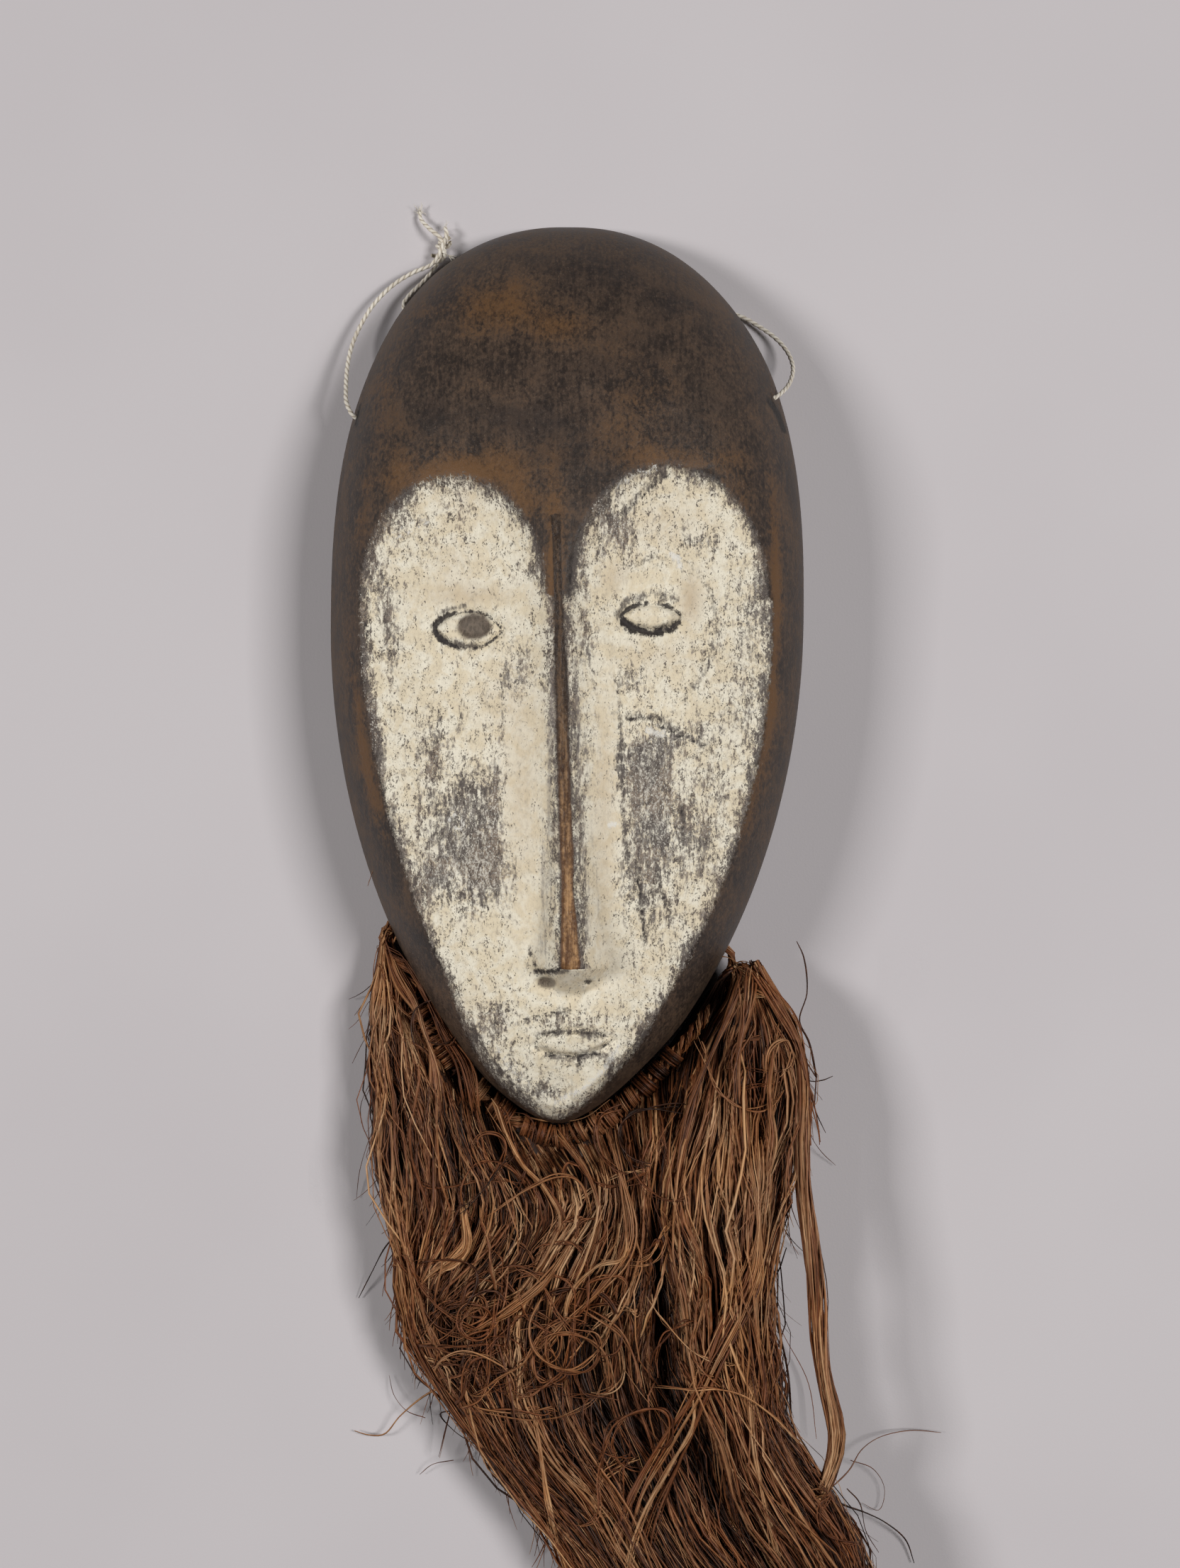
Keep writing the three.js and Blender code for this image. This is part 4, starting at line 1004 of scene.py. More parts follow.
def sweep(lines, radius, sides=3, turn=0.0, flat=1.0):
    """Tubes along lines shaped (count, points, 3); turn rolls each ring."""
    count, length, _ = lines.shape
    side, up = frames(lines)
    angle = np.linspace(0.0, 2.0 * math.pi, sides, endpoint=False) + turn
    out = ((np.cos(angle) * radius)[..., None] * side[:, :, None, :]
           + (np.sin(angle) * radius * flat)[..., None] * up[:, :, None, :])
    return (lines[:, :, None, :] + out).reshape(-1, 3), ring_faces(count, length, sides)


def join(parts):
    """One mesh from (points, faces, fields) parts."""
    points, faces, start = [], [], 0
    for p, f, _ in parts:
        points.append(p)
        faces.append(f + start)
        start += len(p)
    fields = {k: np.concatenate([part[2][k] for part in parts]) for k in parts[0][2]}
    return np.concatenate(points), np.concatenate(faces), fields


# The hanging string. Its route repeats part.mjs: left hole, knot, under the crown's
# rim, right hole, and back to the left hole across the hollow
STRING_DIAMETER = 1.1
STRING_TO_KNOT = (
    (-44.6, 60.0, 14.0), (-47.6, 60.0, 15.2), (-50.9, 60.4, 16.1), (-53.0, 63.6, 14.8),
    (-53.6, 68.6, 11.4), (-53.4, 75.0, 8.0), (-52.2, 80.6, 6.0), (-49.2, 87.0, 4.9),
    (-46.4, 91.0, 4.2), (-42.1, 95.1, 3.7), (-37.5, 97.9, 3.4), (-33.4, 99.7, 3.2),
)
STRING_IN_KNOT = (
    (-31.7, 101.5, 4.0), (-30.7, 103.6, 4.6), (-30.1, 105.5, 3.9), (-29.9, 106.4, 2.5),
    (-30.1, 105.4, 1.0), (-30.8, 103.3, 0.7), (-31.9, 100.8, 0.8),
)
STRING_FROM_KNOT = (
    (-33.3, 98.5, 1.1), (-35.9, 95.6, 0.9), (-38.8, 92.8, 0.75), (-40.4, 90.2, 0.65),
    (-39.0, 88.2, 0.65), (-35.0, 87.2, 0.65), (-20.0, 87.6, 0.65), (0.0, 88.6, 0.65),
    (22.0, 88.8, 0.65), (41.3, 87.9, 0.85), (46.9, 85.0, 2.0), (51.7, 81.2, 3.6),
    (54.4, 77.2, 6.0), (55.2, 73.4, 8.8), (54.3, 69.6, 12.2), (52.0, 66.4, 16.0),
    (49.6, 64.6, 17.8), (46.4, 64.2, 16.9), (42.0, 64.0, 14.6), (37.0, 64.0, 9.4),
    (32.4, 64.2, 3.4), (28.6, 64.4, 1.3), (24.0, 64.4, 0.7), (10.0, 63.6, 0.65),
    (-10.0, 61.6, 0.65), (-25.0, 60.4, 0.7), (-29.6, 60.2, 1.4), (-33.6, 60.1, 4.0),
    (-38.6, 60.0, 9.2), (-42.2, 60.0, 12.6), (-44.1, 60.0, 13.75),
)
TWINE_PITCH = 3.4
KNOT_AXIS = ((-32.4, 100.3, 2.6), (-31.2, 102.6, 2.8), (-30.3, 104.6, 2.8), (-29.9, 107.0, 2.4))
# The knot's turns round its axis: radius, turns, phase, and where they start and end
KNOT_TURNS = (
    (1.35, 2.6, 0.4, 0.16, 0.78), (1.1, 1.5, 2.6, 0.45, 1.0), (1.25, 1.2, 4.2, 0.02, 0.4),
)
KNOT_TAILS = (
    ((-30.4, 104.8, 3.6), (-31.4, 106.4, 4.3), (-33.0, 107.8, 3.8), (-34.8, 109.6, 2.8),
     (-36.1, 111.4, 1.8), (-36.3, 113.0, 1.2)),
    ((-29.9, 105.8, 3.0), (-29.6, 107.4, 3.4), (-30.0, 109.0, 2.8)),
)
# Frayed ends: place, wisps, length and lean
FRAYS = (
    (KNOT_TAILS[0][-1], 40, 1.3, (-0.1, 0.9, 0.1)),
    (KNOT_TAILS[1][-1], 12, 1.2, (-0.2, 1.0, 0.0)),
    ((-28.9, 102.0, 2.6), 12, 1.4, (1.0, -0.6, 0.0)),
)
FRAY_POINTS = 8


def not_below(points, lowest):
    points[..., 2] = np.maximum(points[..., 2], lowest)
    return points


def twine(points, step, radius=STRING_DIAMETER / 2.0, sides=12, thinned=0.0):
    """Two plies twisted together; the groove between them turns along the line."""
    line = spline(points, step)
    share = np.linspace(0.0, 1.0, len(line))
    along = share * np.linalg.norm(np.diff(line, axis=0), axis=1).sum()
    roll = 2.0 * math.pi * along / TWINE_PITCH
    angle = np.linspace(0.0, 2.0 * math.pi, sides, endpoint=False)
    lobe = np.abs(np.cos(angle[None, :] - roll[:, None]))
    size = radius * (0.70 + 0.34 * lobe ** 1.3) * (1.0 - thinned * share ** 3)[:, None]
    made, faces = sweep(line[None], size[None], sides)
    return (made, faces, {"ply": lobe.ravel()}), line


def fray(rng, end, count, reach, lean):
    lean = np.array(lean)
    way = lean + rng.normal(0.0, 0.5, (count, 3)) * (1.0, 1.0, 0.55)
    bend = rng.normal(0.0, 0.5, (count, 3))
    s = np.linspace(0.0, 1.0, FRAY_POINTS)[None, :, None]
    wisps = (np.array(end) - 0.4 * lean + reach * rng.uniform(0.5, 1.1, (count, 1, 1))
             * (s * way[:, None] + s * s * bend[:, None]))
    made, faces = sweep(not_below(wisps, 0.15), np.linspace(0.13, 0.04, FRAY_POINTS)[None, :, None])
    return made, faces, {"ply": np.ones(len(made))}


def cotton():
    s = Shader("cotton")
    fibre = s.noise((0.25, 0.9, 0.25), 3.0, 0.6)
    dirt = s.noise(6.0, 3.0, 0.6)
    # Painted shade: darker in the groove between the plies, lighter on their crowns
    color = s.cover((0.46, 0.39, 0.30), (0.90, 0.85, 0.75), s.field("ply"), 0.15, 0.75)
    color = s.cover(color, (0.40, 0.32, 0.24), dirt, 0.48, 0.7, 0.35)
    color = s.cover(color, (0.80, 0.73, 0.62), fibre, 0.4, 0.7, 0.35)
    return s.finish(color, 0.85, s.bump(fibre, 0.08), 0.2)


def make_string():
    material = cotton()
    (points, faces, fields), line = twine(STRING_TO_KNOT + STRING_IN_KNOT + STRING_FROM_KNOT, 0.36)
    cord = make_mesh("hanging_twine", points, faces, material, fields)
    claim(cord, "cotton_twine", "hanging_string_left", "hanging_string_back")

    parts = []
    axis = spline(KNOT_AXIS, count=90)
    t = np.linspace(0.0, 1.0, len(axis))
    side, up = (v[0] for v in frames(axis[None]))
    for radius, turns, phase, low, high in KNOT_TURNS:
        angle = phase + 2.0 * math.pi * turns * t
        ring = axis + radius * (np.cos(angle)[:, None] * side + 0.95 * np.sin(angle)[:, None] * up)
        parts.append(twine(not_below(ring[(t >= low) & (t <= high)], 0.75), 0.3, 0.56, 10)[0])
    parts += [twine(tail, 0.3, 0.58, 10, thinned=0.25)[0] for tail in KNOT_TAILS]
    rng = np.random.default_rng(5)
    parts += [fray(rng, *end) for end in FRAYS]
    points, faces, fields = join(parts)
    knot = make_mesh("twine_knot", points, faces, material, fields)
    claim(knot, "cotton_twine", "string_knot")
    to_row(STRING_HOLES[0][1]).tolist()
    to_row(line).tolist()


# The beard. Guides give the flow of the fibres as x at a y, in pixels, left to right
GUIDES = (
    ((1315, 540), (1400, 526), (1480, 524), (1560, 523), (1640, 529), (1720, 543), (1800, 552),
     (1880, 580), (1960, 627), (2040, 690), (2120, 757), (2205, 813), (2300, 872), (2400, 938),
    (2560, 1050)),
    ((1315, 549), (1400, 556), (1480, 562), (1560, 572), (1640, 590), (1700, 602), (1760, 590),
     (1820, 580),
     (1880, 590), (1940, 618), (2000, 655), (2060, 700), (2120, 752), (2205, 812), (2400, 955),
    (2560, 1066)),
    ((1315, 596), (1440, 600), (1500, 610), (1560, 628), (1620, 652), (1680, 668), (1720, 660),
     (1760, 640),
     (1820, 612), (1880, 606), (1940, 628), (2000, 668), (2060, 714), (2120, 765), (2205, 832),
    (2400, 975),
     (2560, 1085)),
    ((1315, 668), (1540, 682), (1600, 700), (1650, 735), (1690, 758), (1730, 760), (1780, 735),
     (1830, 700),
     (1880, 672), (1940, 680), (2000, 712), (2060, 750), (2120, 795), (2205, 858), (2400, 1000),
    (2560, 1105)),
    ((1315, 775), (1590, 785), (1640, 818), (1680, 830), (1720, 815), (1770, 787), (1820, 760),
     (1880, 738),
     (1940, 740), (2000, 765), (2060, 798), (2120, 834), (2205, 892), (2400, 1030), (2560, 1130)),
    ((1315, 835), (1580, 842), (1640, 862), (1700, 876), (1750, 872), (1800, 850), (1860, 817),
     (1920, 806),
     (1980, 822), (2040, 850), (2120, 886), (2205, 936), (2400, 1062), (2560, 1155)),
    ((1315, 882), (1555, 888), (1620, 900), (1700, 912), (1760, 912), (1820, 900), (1900, 892),
     (1960, 905),
     (2040, 932), (2120, 966), (2205, 1008), (2400, 1120), (2560, 1200)),
    ((1315, 942), (1528, 932), (1600, 930), (1700, 928), (1780, 930), (1860, 930), (1940, 947),
     (2020, 974),
     (2100, 1004), (2205, 1048), (2400, 1150), (2560, 1228)),
    ((1315, 1050), (1400, 1040), (1480, 1000), (1560, 962), (1640, 947), (1720, 948), (1800, 956),
     (1880, 968), (1960, 986), (2040, 1014), (2120, 1048), (2205, 1090), (2400, 1188),
    (2560, 1262)),
    ((1315, 1056), (1390, 1050), (1480, 1030), (1560, 1010), (1640, 1000), (1720, 1000),
     (1800, 1005),
     (1880, 1015), (1960, 1032), (2040, 1060), (2120, 1094), (2205, 1136), (2400, 1232),
    (2560, 1304)),
    ((1315, 1060), (1385, 1057), (1460, 1064), (1540, 1062), (1620, 1054), (1700, 1048),
     (1780, 1046),
     (1860, 1053), (1940, 1064), (2020, 1086), (2100, 1124), (2205, 1184), (2400, 1280),
    (2560, 1350)),
    ((1315, 1062), (1380, 1066), (1420, 1092), (1460, 1114), (1500, 1130), (1560, 1138),
     (1640, 1136),
     (1700, 1114), (1760, 1084), (1820, 1081), (1900, 1093), (1980, 1101), (2020, 1114),
    (2060, 1142),
     (2100, 1168), (2150, 1198), (2205, 1230), (2400, 1318), (2560, 1384)),
)
GUIDE_SHARE = (0.0, 0.095, 0.21, 0.325, 0.475, 0.55, 0.615, 0.66, 0.70, 0.785, 0.87, 1.0)
FLOW_TOP, FLOW_END, FLOW_STEP = 1300.0, 2580.0, 8.0
FLOW_SOFTNESS = 22.0
FLOW_DRIFT = 9.0
LOCKS = 126
LOCK_CLUMPS = 3
CLUMP_FIBRES = 6
FIBRE_POINTS = 36
ROOT_POINTS = 5
FINE, BROAD = (0.08, 0.18), (0.20, 0.42)
HANKS = 9
# In millimetres: where the beard ends in y, and its heights
BEARD_END = (-284.0, -268.0)
BEARD_ROOT_Z = 6.0
BEARD_HEIGHT = (16.0, 22.0, 15.0)
BEARD_RISE, BEARD_FALL = (-80.0, -135.0), (-218.0, -270.0)
CORE_RISE, BEARD_THINNING = (-80.0, -125.0), (-240.0, -276.0)
# Fibres below this height and beside the jaw below this y keep clear of it
JAW_CLEAR_Y, JAW_CLEAR_Z = -58.0, 14.0
RIGHT_RISE = 1.42
LEFT_ROOT_Z, RIGHT_ROOT_Z = 9.0, 11.5
CORE_GAP = 1.0
# In pixels: rows where the bundles and the dark core start, where the core and the fibres
# under it end, where the right bundle comes down, and where the beard darkens
LEFT_START, RIGHT_START, RIGHT_CORE_START = 1322.0, 1374.0, 1384.0
HELD_TO = 1700.0
CORE_END, UNDER_END = 2500.0, (2470.0, 2560.0)
RIGHT_DROP = (1430.0, 1370.0)
SHADE_DROP = (1860.0, 2150.0)
# Where bundles leave the two jaw holes: the hole, and the crest of the fold over it, in
# pixels and millimetres. Other fibres fold over the band, and theirs are from their start
LEFT_FOLD = ((562, 1318, 4.5), (548, 1306, 14.0))
RIGHT_FOLD = ((1030, 1384, 4.5), (1048, 1350, 17.0))
BAND_FOLD = ((0, 16, 3.5), (0, -12, 7.5))
FOLD_SPREAD = ((3.0, 2.5, 0.6), (7.0, 5.0, 1.6))
# Where the beard is hollow, lower and with painted shade, and where it is golden, as ovals
HOLLOWS = (
    (931, 1850, 17, 150, -3, 1.0), (975, 1430, 44, 90, -30, 1.3), (940, 1530, 24, 60, -20, 0.7),
    (740, 1790, 12, 60, 30, 0.6), (640, 1650, 14, 60, -10, 0.5), (890, 1640, 14, 60, 0, 0.5),
    (985, 2060, 18, 110, -22, 0.7), (800, 1900, 40, 60, 0, 0.6), (640, 1900, 50, 50, 0, 0.5),
    (880, 2000, 70, 90, -20, 0.45), (1008, 1850, 10, 110, 0, 0.4), (560, 1600, 10, 90, 0, 0.4),
    (700, 1600, 22, 50, -20, 0.5), (800, 1640, 18, 36, -30, 0.5), (1075, 1560, 9, 70, 0, 0.3),
)
GOLDEN = (
    (1072, 1740, 16, 56, 4, 0.5), (1040, 1850, 14, 60, 12, 0.4), (628, 1785, 34, 16, -30, 0.4),
    (542, 1400, 12, 80, 0, 0.35), (560, 1720, 14, 70, 0, 0.3), (935, 2035, 14, 90, 35, 0.35),
    (690, 1840, 40, 40, 40, 0.3), (1130, 1780, 12, 80, 0, 0.35), (1020, 1640, 60, 130, 0, 0.22),
    (560, 1460, 40, 120, 0, 0.12), (1160, 2080, 20, 60, 20, 0.3),
    (1045, 1400, 20, 30, 0, 0.25), (770, 2100, 12, 90, -15, 0.3), (860, 1800, 20, 50, 20, 0.25),
)
# Single locks that lie on top: points in pixels, fibres, half width in pixels,
# height over the beard in millimetres, tone
TOP_LOCKS = (
    (((653, 1700), (656, 1759), (640, 1778), (614, 1794), (580, 1822)), 26, 9, 1.2, 0.80),
    (((885, 1700), (879, 1775), (846, 1785), (820, 1806), (804, 1831), (794, 1883)),
     5, 3, 2.6, 0.95),
    (((768, 1824), (748, 1873), (755, 1905), (778, 1925), (810, 1932), (846, 1902), (862, 1872)),
     3, 4, 2.4, 0.74),
    (((853, 1945), (838, 1975), (794, 1997), (729, 2002), (676, 1991), (640, 1975)),
     3, 2, 2.2, 0.62),
    (((1075, 1700), (1072, 1760), (1057, 1812), (1021, 1875), (985, 1963), (945, 2017), (900, 2095),
      (872, 2170), (850, 2260)), 12, 12, 1.2, 0.50),
    (((1082, 1690), (1078, 1760), (1050, 1840), (1004, 1930), (950, 2030), (905, 2110),
      (880, 2200)), 7, 22, 1.8, 0.64),
    (((1088, 1740), (1064, 1830), (1030, 1900), (990, 1990), (962, 2060), (930, 2130),
      (905, 2230)), 6, 9, 1.4, 0.48),
    (((985, 1930), (981, 1972), (978, 2011), (939, 2080), (900, 2161), (880, 2240)),
     9, 7, 2.2, 0.85),
    (((930, 1958), (969, 1961), (1010, 1960), (1051, 1972), (1090, 1999), (1129, 2038)),
     4, 3, 2.6, 0.85),
    (((1062, 1600), (1070, 1700), (1068, 1790), (1040, 1870)), 22, 16, 1.3, 0.78),
    (((551, 1323), (575, 1360), (606, 1412), (632, 1462), (655, 1500), (668, 1560)),
     24, 9, 1.2, 0.52),
    (((545, 1330), (560, 1372), (590, 1430), (612, 1500), (620, 1580)), 18, 9, 1.6, 0.50),
    (((1100, 1448), (1086, 1520), (1090, 1600), (1080, 1680)), 12, 8, 1.4, 0.72),
    (((1046, 1380), (1020, 1450), (985, 1530), (962, 1620), (950, 1720)), 16, 9, 1.4, 0.48),
    (((1066, 1372), (1100, 1420), (1126, 1470), (1140, 1540), (1142, 1610)), 18, 8, 1.0, 0.50),
    (((1056, 1372), (1052, 1430), (1040, 1500), (1036, 1600)), 16, 12, 1.4, 0.56),
    (((700, 1560), (735, 1640), (772, 1680), (790, 1720), (770, 1770), (730, 1830)),
     14, 8, 1.2, 0.62),
    (((790, 1600), (832, 1660), (845, 1720), (820, 1790), (780, 1850)), 12, 8, 1.4, 0.58),
    (((860, 1600), (880, 1680), (886, 1750), (850, 1815), (800, 1862), (745, 1912)),
     14, 8, 1.8, 0.66),
    (((820, 1731), (770, 1806), (715, 1851), (650, 1890)), 12, 9, 1.6, 0.64),
    (((560, 1690), (572, 1760), (590, 1830), (625, 1930)), 12, 8, 1.0, 0.62),
    (((566, 1834), (606, 1931), (680, 2040), (766, 2143), (808, 2230)), 16, 9, 1.0, 0.55),
    (((754, 1990), (766, 2074), (777, 2143), (806, 2240)), 10, 5, 2.0, 0.85),
    (((1060, 1940), (1064, 2040), (1078, 2120), (1110, 2230)), 9, 7, 1.6, 0.80),
    (((900, 1790), (880, 1840), (850, 1890)), 3, 3, 2.6, 0.85),
    (((940, 1770), (925, 1830), (905, 1880)), 3, 2, 2.6, 0.75),
    (((676, 1700), (690, 1760), (700, 1830)), 3, 2, 2.2, 0.85),
)
# Stray fibres: points in pixels, heights at the start, middle and end, radius, tone
STRAYS = (
    (((1090, 1420), (1125, 1441), (1100, 1464), (1069, 1483), (1028, 1509)), (12, 19, 14),
     0.42, 0.90),
    (((1152, 1520), (1141, 1470), (1128, 1440), (1139, 1400), (1134, 1350), (1124, 1328)),
     (10, 22, 26), 0.34, 0.22),
    (((1066, 1396), (1084, 1410), (1113, 1436), (1131, 1471), (1138, 1512), (1140, 1560)),
     (11, 15, 10), 0.34, 0.20),
    (((1110, 1485), (1113, 1509), (1143, 1525), (1160, 1524), (1175, 1518)), (10, 9, 6),
     0.26, 0.20),
    (((1120, 1470), (1140, 1532), (1152, 1570), (1165, 1598)), (10, 7, 1.5), 0.26, 0.22),
    (((1135, 1560), (1145, 1603), (1160, 1626), (1179, 1644)), (8, 4, 0.8), 0.16, 0.35),
    (((640, 1950), (601, 1968), (565, 1997), (542, 2023), (520, 2024), (500, 2018)), (9, 4, 0.9),
     0.34, 0.80),
    (((560, 1740), (542, 1762), (524, 1796), (506, 1831)), (8, 4, 0.7), 0.24, 0.15),
    (((640, 1990), (621, 1994), (640, 2018), (662, 2033), (683, 2043)), (6, 1.2, 5), 0.22, 0.18),
    (((560, 1420), (530, 1440), (512, 1470), (497, 1500)), (9, 6, 2.5), 0.16, 0.40),
    (((548, 1400), (522, 1412), (505, 1440), (492, 1452)), (9, 7, 3.0), 0.13, 0.45),
    (((545, 1560), (524, 1600), (508, 1650), (503, 1690)), (8, 4, 0.6), 0.15, 0.35),
    (((540, 1500), (516, 1540), (509, 1560), (510, 1585)), (8, 4, 1.0), 0.15, 0.30),
    (((1160, 2110), (1198, 2074), (1215, 2046), (1240, 2028), (1285, 2018), (1328, 2021)),
     (10, 4, 0.8), 0.22, 0.55),
    (((1150, 2100), (1189, 2122), (1222, 2134), (1250, 2148), (1278, 2172), (1290, 2205)),
     (9, 4, 0.8), 0.34, 0.16),
    (((1200, 2060), (1232, 2072), (1248, 2100), (1240, 2130), (1216, 2120)), (5, 2, 1.0),
     0.14, 0.45),
    (((1195, 2100), (1213, 2120), (1222, 2160), (1240, 2190)), (8, 5, 2.0), 0.20, 0.30),
    (((1060, 1740), (1075, 1794), (1096, 1866), (1111, 1933), (1117, 2017)), (10, 6, 6),
     0.50, 0.20),
    (((1062, 1760), (1084, 1840), (1092, 1900), (1108, 1990)), (9, 4, 5), 0.26, 0.35),
    (((1090, 1720), (1078, 1780), (1100, 1870), (1140, 1950), (1152, 2030)), (8, 2, 4), 0.20, 0.45),
    (((1110, 1760), (1094, 1800), (1066, 1820), (1040, 1846)), (9, 12, 16), 0.20, 0.15),
    (((530, 1219), (524, 1234), (519, 1250)), (20, 17, 14), 0.16, 0.70),
    (((527, 1228), (533, 1212), (546, 1201), (560, 1199), (580, 1206)), (16, 22, 27), 0.16, 0.80),
    (((740, 1575), (780, 1582), (823, 1577), (861, 1551)), (9, 11, 12), 0.24, 0.85),
    (((600, 2000), (574, 1990), (556, 1968), (549, 1940)), (6, 3, 1.0), 0.14, 0.35),
    (((640, 2060), (610, 2066), (592, 2080)), (6, 3, 1.0), 0.16, 0.30),
    (((1032, 1368), (1042, 1357), (1056, 1358), (1064, 1372)), (9, 14, 10), 0.20, 0.70),
    (((1005, 1352), (1025, 1350), (1046, 1362)), (10, 12, 12), 0.22, 0.70),
    (((600, 1330), (540, 1330), (528, 1360), (530, 1420)), (9, 10, 9), 0.22, 0.60),
)
# Tangles, as ovals: middle and half sizes in pixels, fibres, tone
TANGLES = (
    (640, 1850, 60, 55, 20, 0.50), (700, 1930, 90, 50, 24, 0.46), (810, 1880, 70, 66, 16, 0.46),
    (720, 1800, 90, 60, 10, 0.52), (880, 2060, 60, 70, 8, 0.46), (620, 1960, 40, 40, 6, 0.44),
    (1000, 1900, 60, 120, 5, 0.50), (700, 1660, 110, 70, 6, 0.44), (600, 1480, 44, 100, 4, 0.48),
    (1060, 1500, 60, 90, 5, 0.44), (900, 1640, 70, 60, 5, 0.40), (1180, 2130, 50, 60, 4, 0.40),
    (680, 2050, 50, 50, 6, 0.44), (1080, 1420, 30, 30, 2, 0.6), (860, 1760, 60, 40, 5, 0.50),
)


def raffia():
    s = Shader("raffia")
    streak = s.noise((0.9, 14.0, 0.9), 3.0, 0.6)
    fleck = s.noise(2.2, 3.0, 0.6)
    level = s.add(s.field("tone"), s.lean(streak, 0.30), s.lean(fleck, 0.35))
    level = s.add(s.times(level, 1.3), -0.125)
    color = s.cover((0.026, 0.011, 0.006), (0.088, 0.029, 0.011), level, 0.0, 0.30)
    color = s.cover(color, (0.218, 0.078, 0.030), level, 0.22, 0.55)
    color = s.cover(color, (0.37, 0.178, 0.080), level, 0.5, 0.85)
    color = s.cover(color, (0.62, 0.375, 0.20), level, 0.8, 1.2)
    gold = s.blend(1.0, color, (1.12, 0.92, 0.64), "MULTIPLY")
    color = s.cover(color, gold, s.noise(16.0, 3.0, 0.6), 0.42, 0.62, 0.55)
    return s.finish(color, 0.5, s.bump(fleck, 0.05), 0.35)


def flow_table():
    """x in pixels over (guide, y), smoothed."""
    y = np.arange(FLOW_TOP, FLOW_END, FLOW_STEP)
    rows = []
    reach = int(3 * FLOW_SOFTNESS / FLOW_STEP)
    kernel = np.exp(-0.5 * (np.arange(-reach, reach + 1) * FLOW_STEP / FLOW_SOFTNESS) ** 2)
    for guide in GUIDES:
        at, x = np.array(guide, float).T
        line = np.interp(y, at, x)
        rows.append(np.convolve(np.pad(line, reach, mode="reflect", reflect_type="odd"),
                                kernel / kernel.sum(), mode="valid"))
    return y, np.array(rows)


FLOW_Y, FLOW_X = flow_table()


def flow(share, py):
    """x in pixels of the fibre with this share from the left, at these y."""
    g = np.interp(share, GUIDE_SHARE, np.arange(len(GUIDES)))
    j = np.clip((py - FLOW_TOP) / FLOW_STEP, 0.0, len(FLOW_Y) - 1.001)
    a, b = np.minimum(g.astype(int), len(GUIDES) - 2), j.astype(int)
    u, v = g - a, j - b
    low = mix(FLOW_X[a, b], FLOW_X[a, b + 1], v)
    return mix(low, mix(FLOW_X[a + 1, b], FLOW_X[a + 1, b + 1], v), u)


def beard_height(y):
    top, middle, end = BEARD_HEIGHT
    return mix(mix(top, middle, ease(*BEARD_RISE, y)), end, ease(*BEARD_FALL, y))


def share_at(px, py):
    """Which share of the beard, from its left edge to its right one, lies at these pixels."""
    left, right = flow(np.zeros_like(py), py), flow(np.ones_like(py), py)
    return (px - left) / (right - left)


def side_height(px, py):
    """Share of the full height: less at both edges, and more on the right."""
    share = np.clip(share_at(px, py), 0.0, 1.0)
    arch = np.clip(1.0 - np.abs(2.0 * share - 1.0) ** 9, 0.0, 1.0) ** 0.5
    low = np.where(share < 0.5, 0.74, 0.92)
    return mix(low, 1.0, arch) * mix(0.96, RIGHT_RISE, ease(0.45, 0.85, share))


def beard_top(px, py):
    """Height of the beard's upper side at these pixels."""
    return beard_height(level_y(px, py, 10.0)) * side_height(px, py) * 0.92


def jaw_edge(side, y, offset):
    """x of the line this far outside the jaw at this y."""
    slant = (outline_half(y + 0.5) - outline_half(y - 0.5)) * (y > CHIN_Y + 0.6)
    return axis_x(y) + side * (outline_half(y) + offset * np.hypot(1.0, np.minimum(slant, 4.0)))


def pixel_patches(px, py, spots):
    total = np.zeros_like(px)
    for cx, cy, rx, ry, turn, strength in spots:
        total += strength * soft_oval(px - cx, py - cy, rx, ry, turn, 0.8)
    return total


def hollow_at(px, py):
    return np.clip(pixel_patches(px, py, HOLLOWS), 0.0, 1.0)


def columns(rng, count):
    """Draws of one number for each of count fibres, as a column: even and normal."""
    return (lambda low=0.0, high=1.0: rng.uniform(low, high, (count, 1)),
            lambda spread, middle=0.0: rng.normal(middle, spread, (count, 1)))


def waves(rng, count, py, size, swing):
    """Sums of two sines along y, one row for each of count lines."""
    even, _ = columns(rng, count)
    total = 0.0
    for part in (1.0, 0.5):
        length = size * part * even(0.7, 1.5)
        total = total + part * np.sin(2.0 * math.pi * py / length + even(0.0, 2.0 * math.pi))
    return swing * total


def drift(px, py):
    """A slow wander of the flow, from -1 to 1 across the beard."""
    return (np.sin(px / 47.0 + py / 83.0 + 1.3) + np.sin(px / 29.0 - py / 61.0 + 0.4)
            + np.sin(py / 38.0 + px / 71.0 + 2.9)) / 3.0


def clear_of_jaw(lines, gap):
    """Fibres beside the mask are moved out to this distance from its jaw."""
    x, y = lines[..., 0], lines[..., 1]
    reach = np.minimum(y, JAW_CLEAR_Y)
    beside = (y > CHIN_Y) & (lines[..., 2] < JAW_CLEAR_Z)
    x = np.where(beside & (x < 0.0), np.minimum(x, jaw_edge(-1, reach, gap)), x)
    x = np.where(beside & (x >= 0.0), np.maximum(x, jaw_edge(1, reach, gap)), x)
    lines[..., 0] = x
    return lines


def jaw_cap(spot, py):
    """The height that the beard keeps under beside the jaw, where the band shows."""
    x, y = spot[..., 0], spot[..., 1]
    side = np.where(x < 0.0, -1.0, 1.0)
    beside = side * (x - jaw_edge(side, np.maximum(y, CHIN_Y), 0.0))
    away = np.where(y > CHIN_Y, beside, np.hypot(x - axis_x(CHIN_Y), y - CHIN_Y))
    return 4.5 + 1.3 * np.maximum(away - 3.0, 0.0) + 14.0 * ease(*RIGHT_DROP, py)


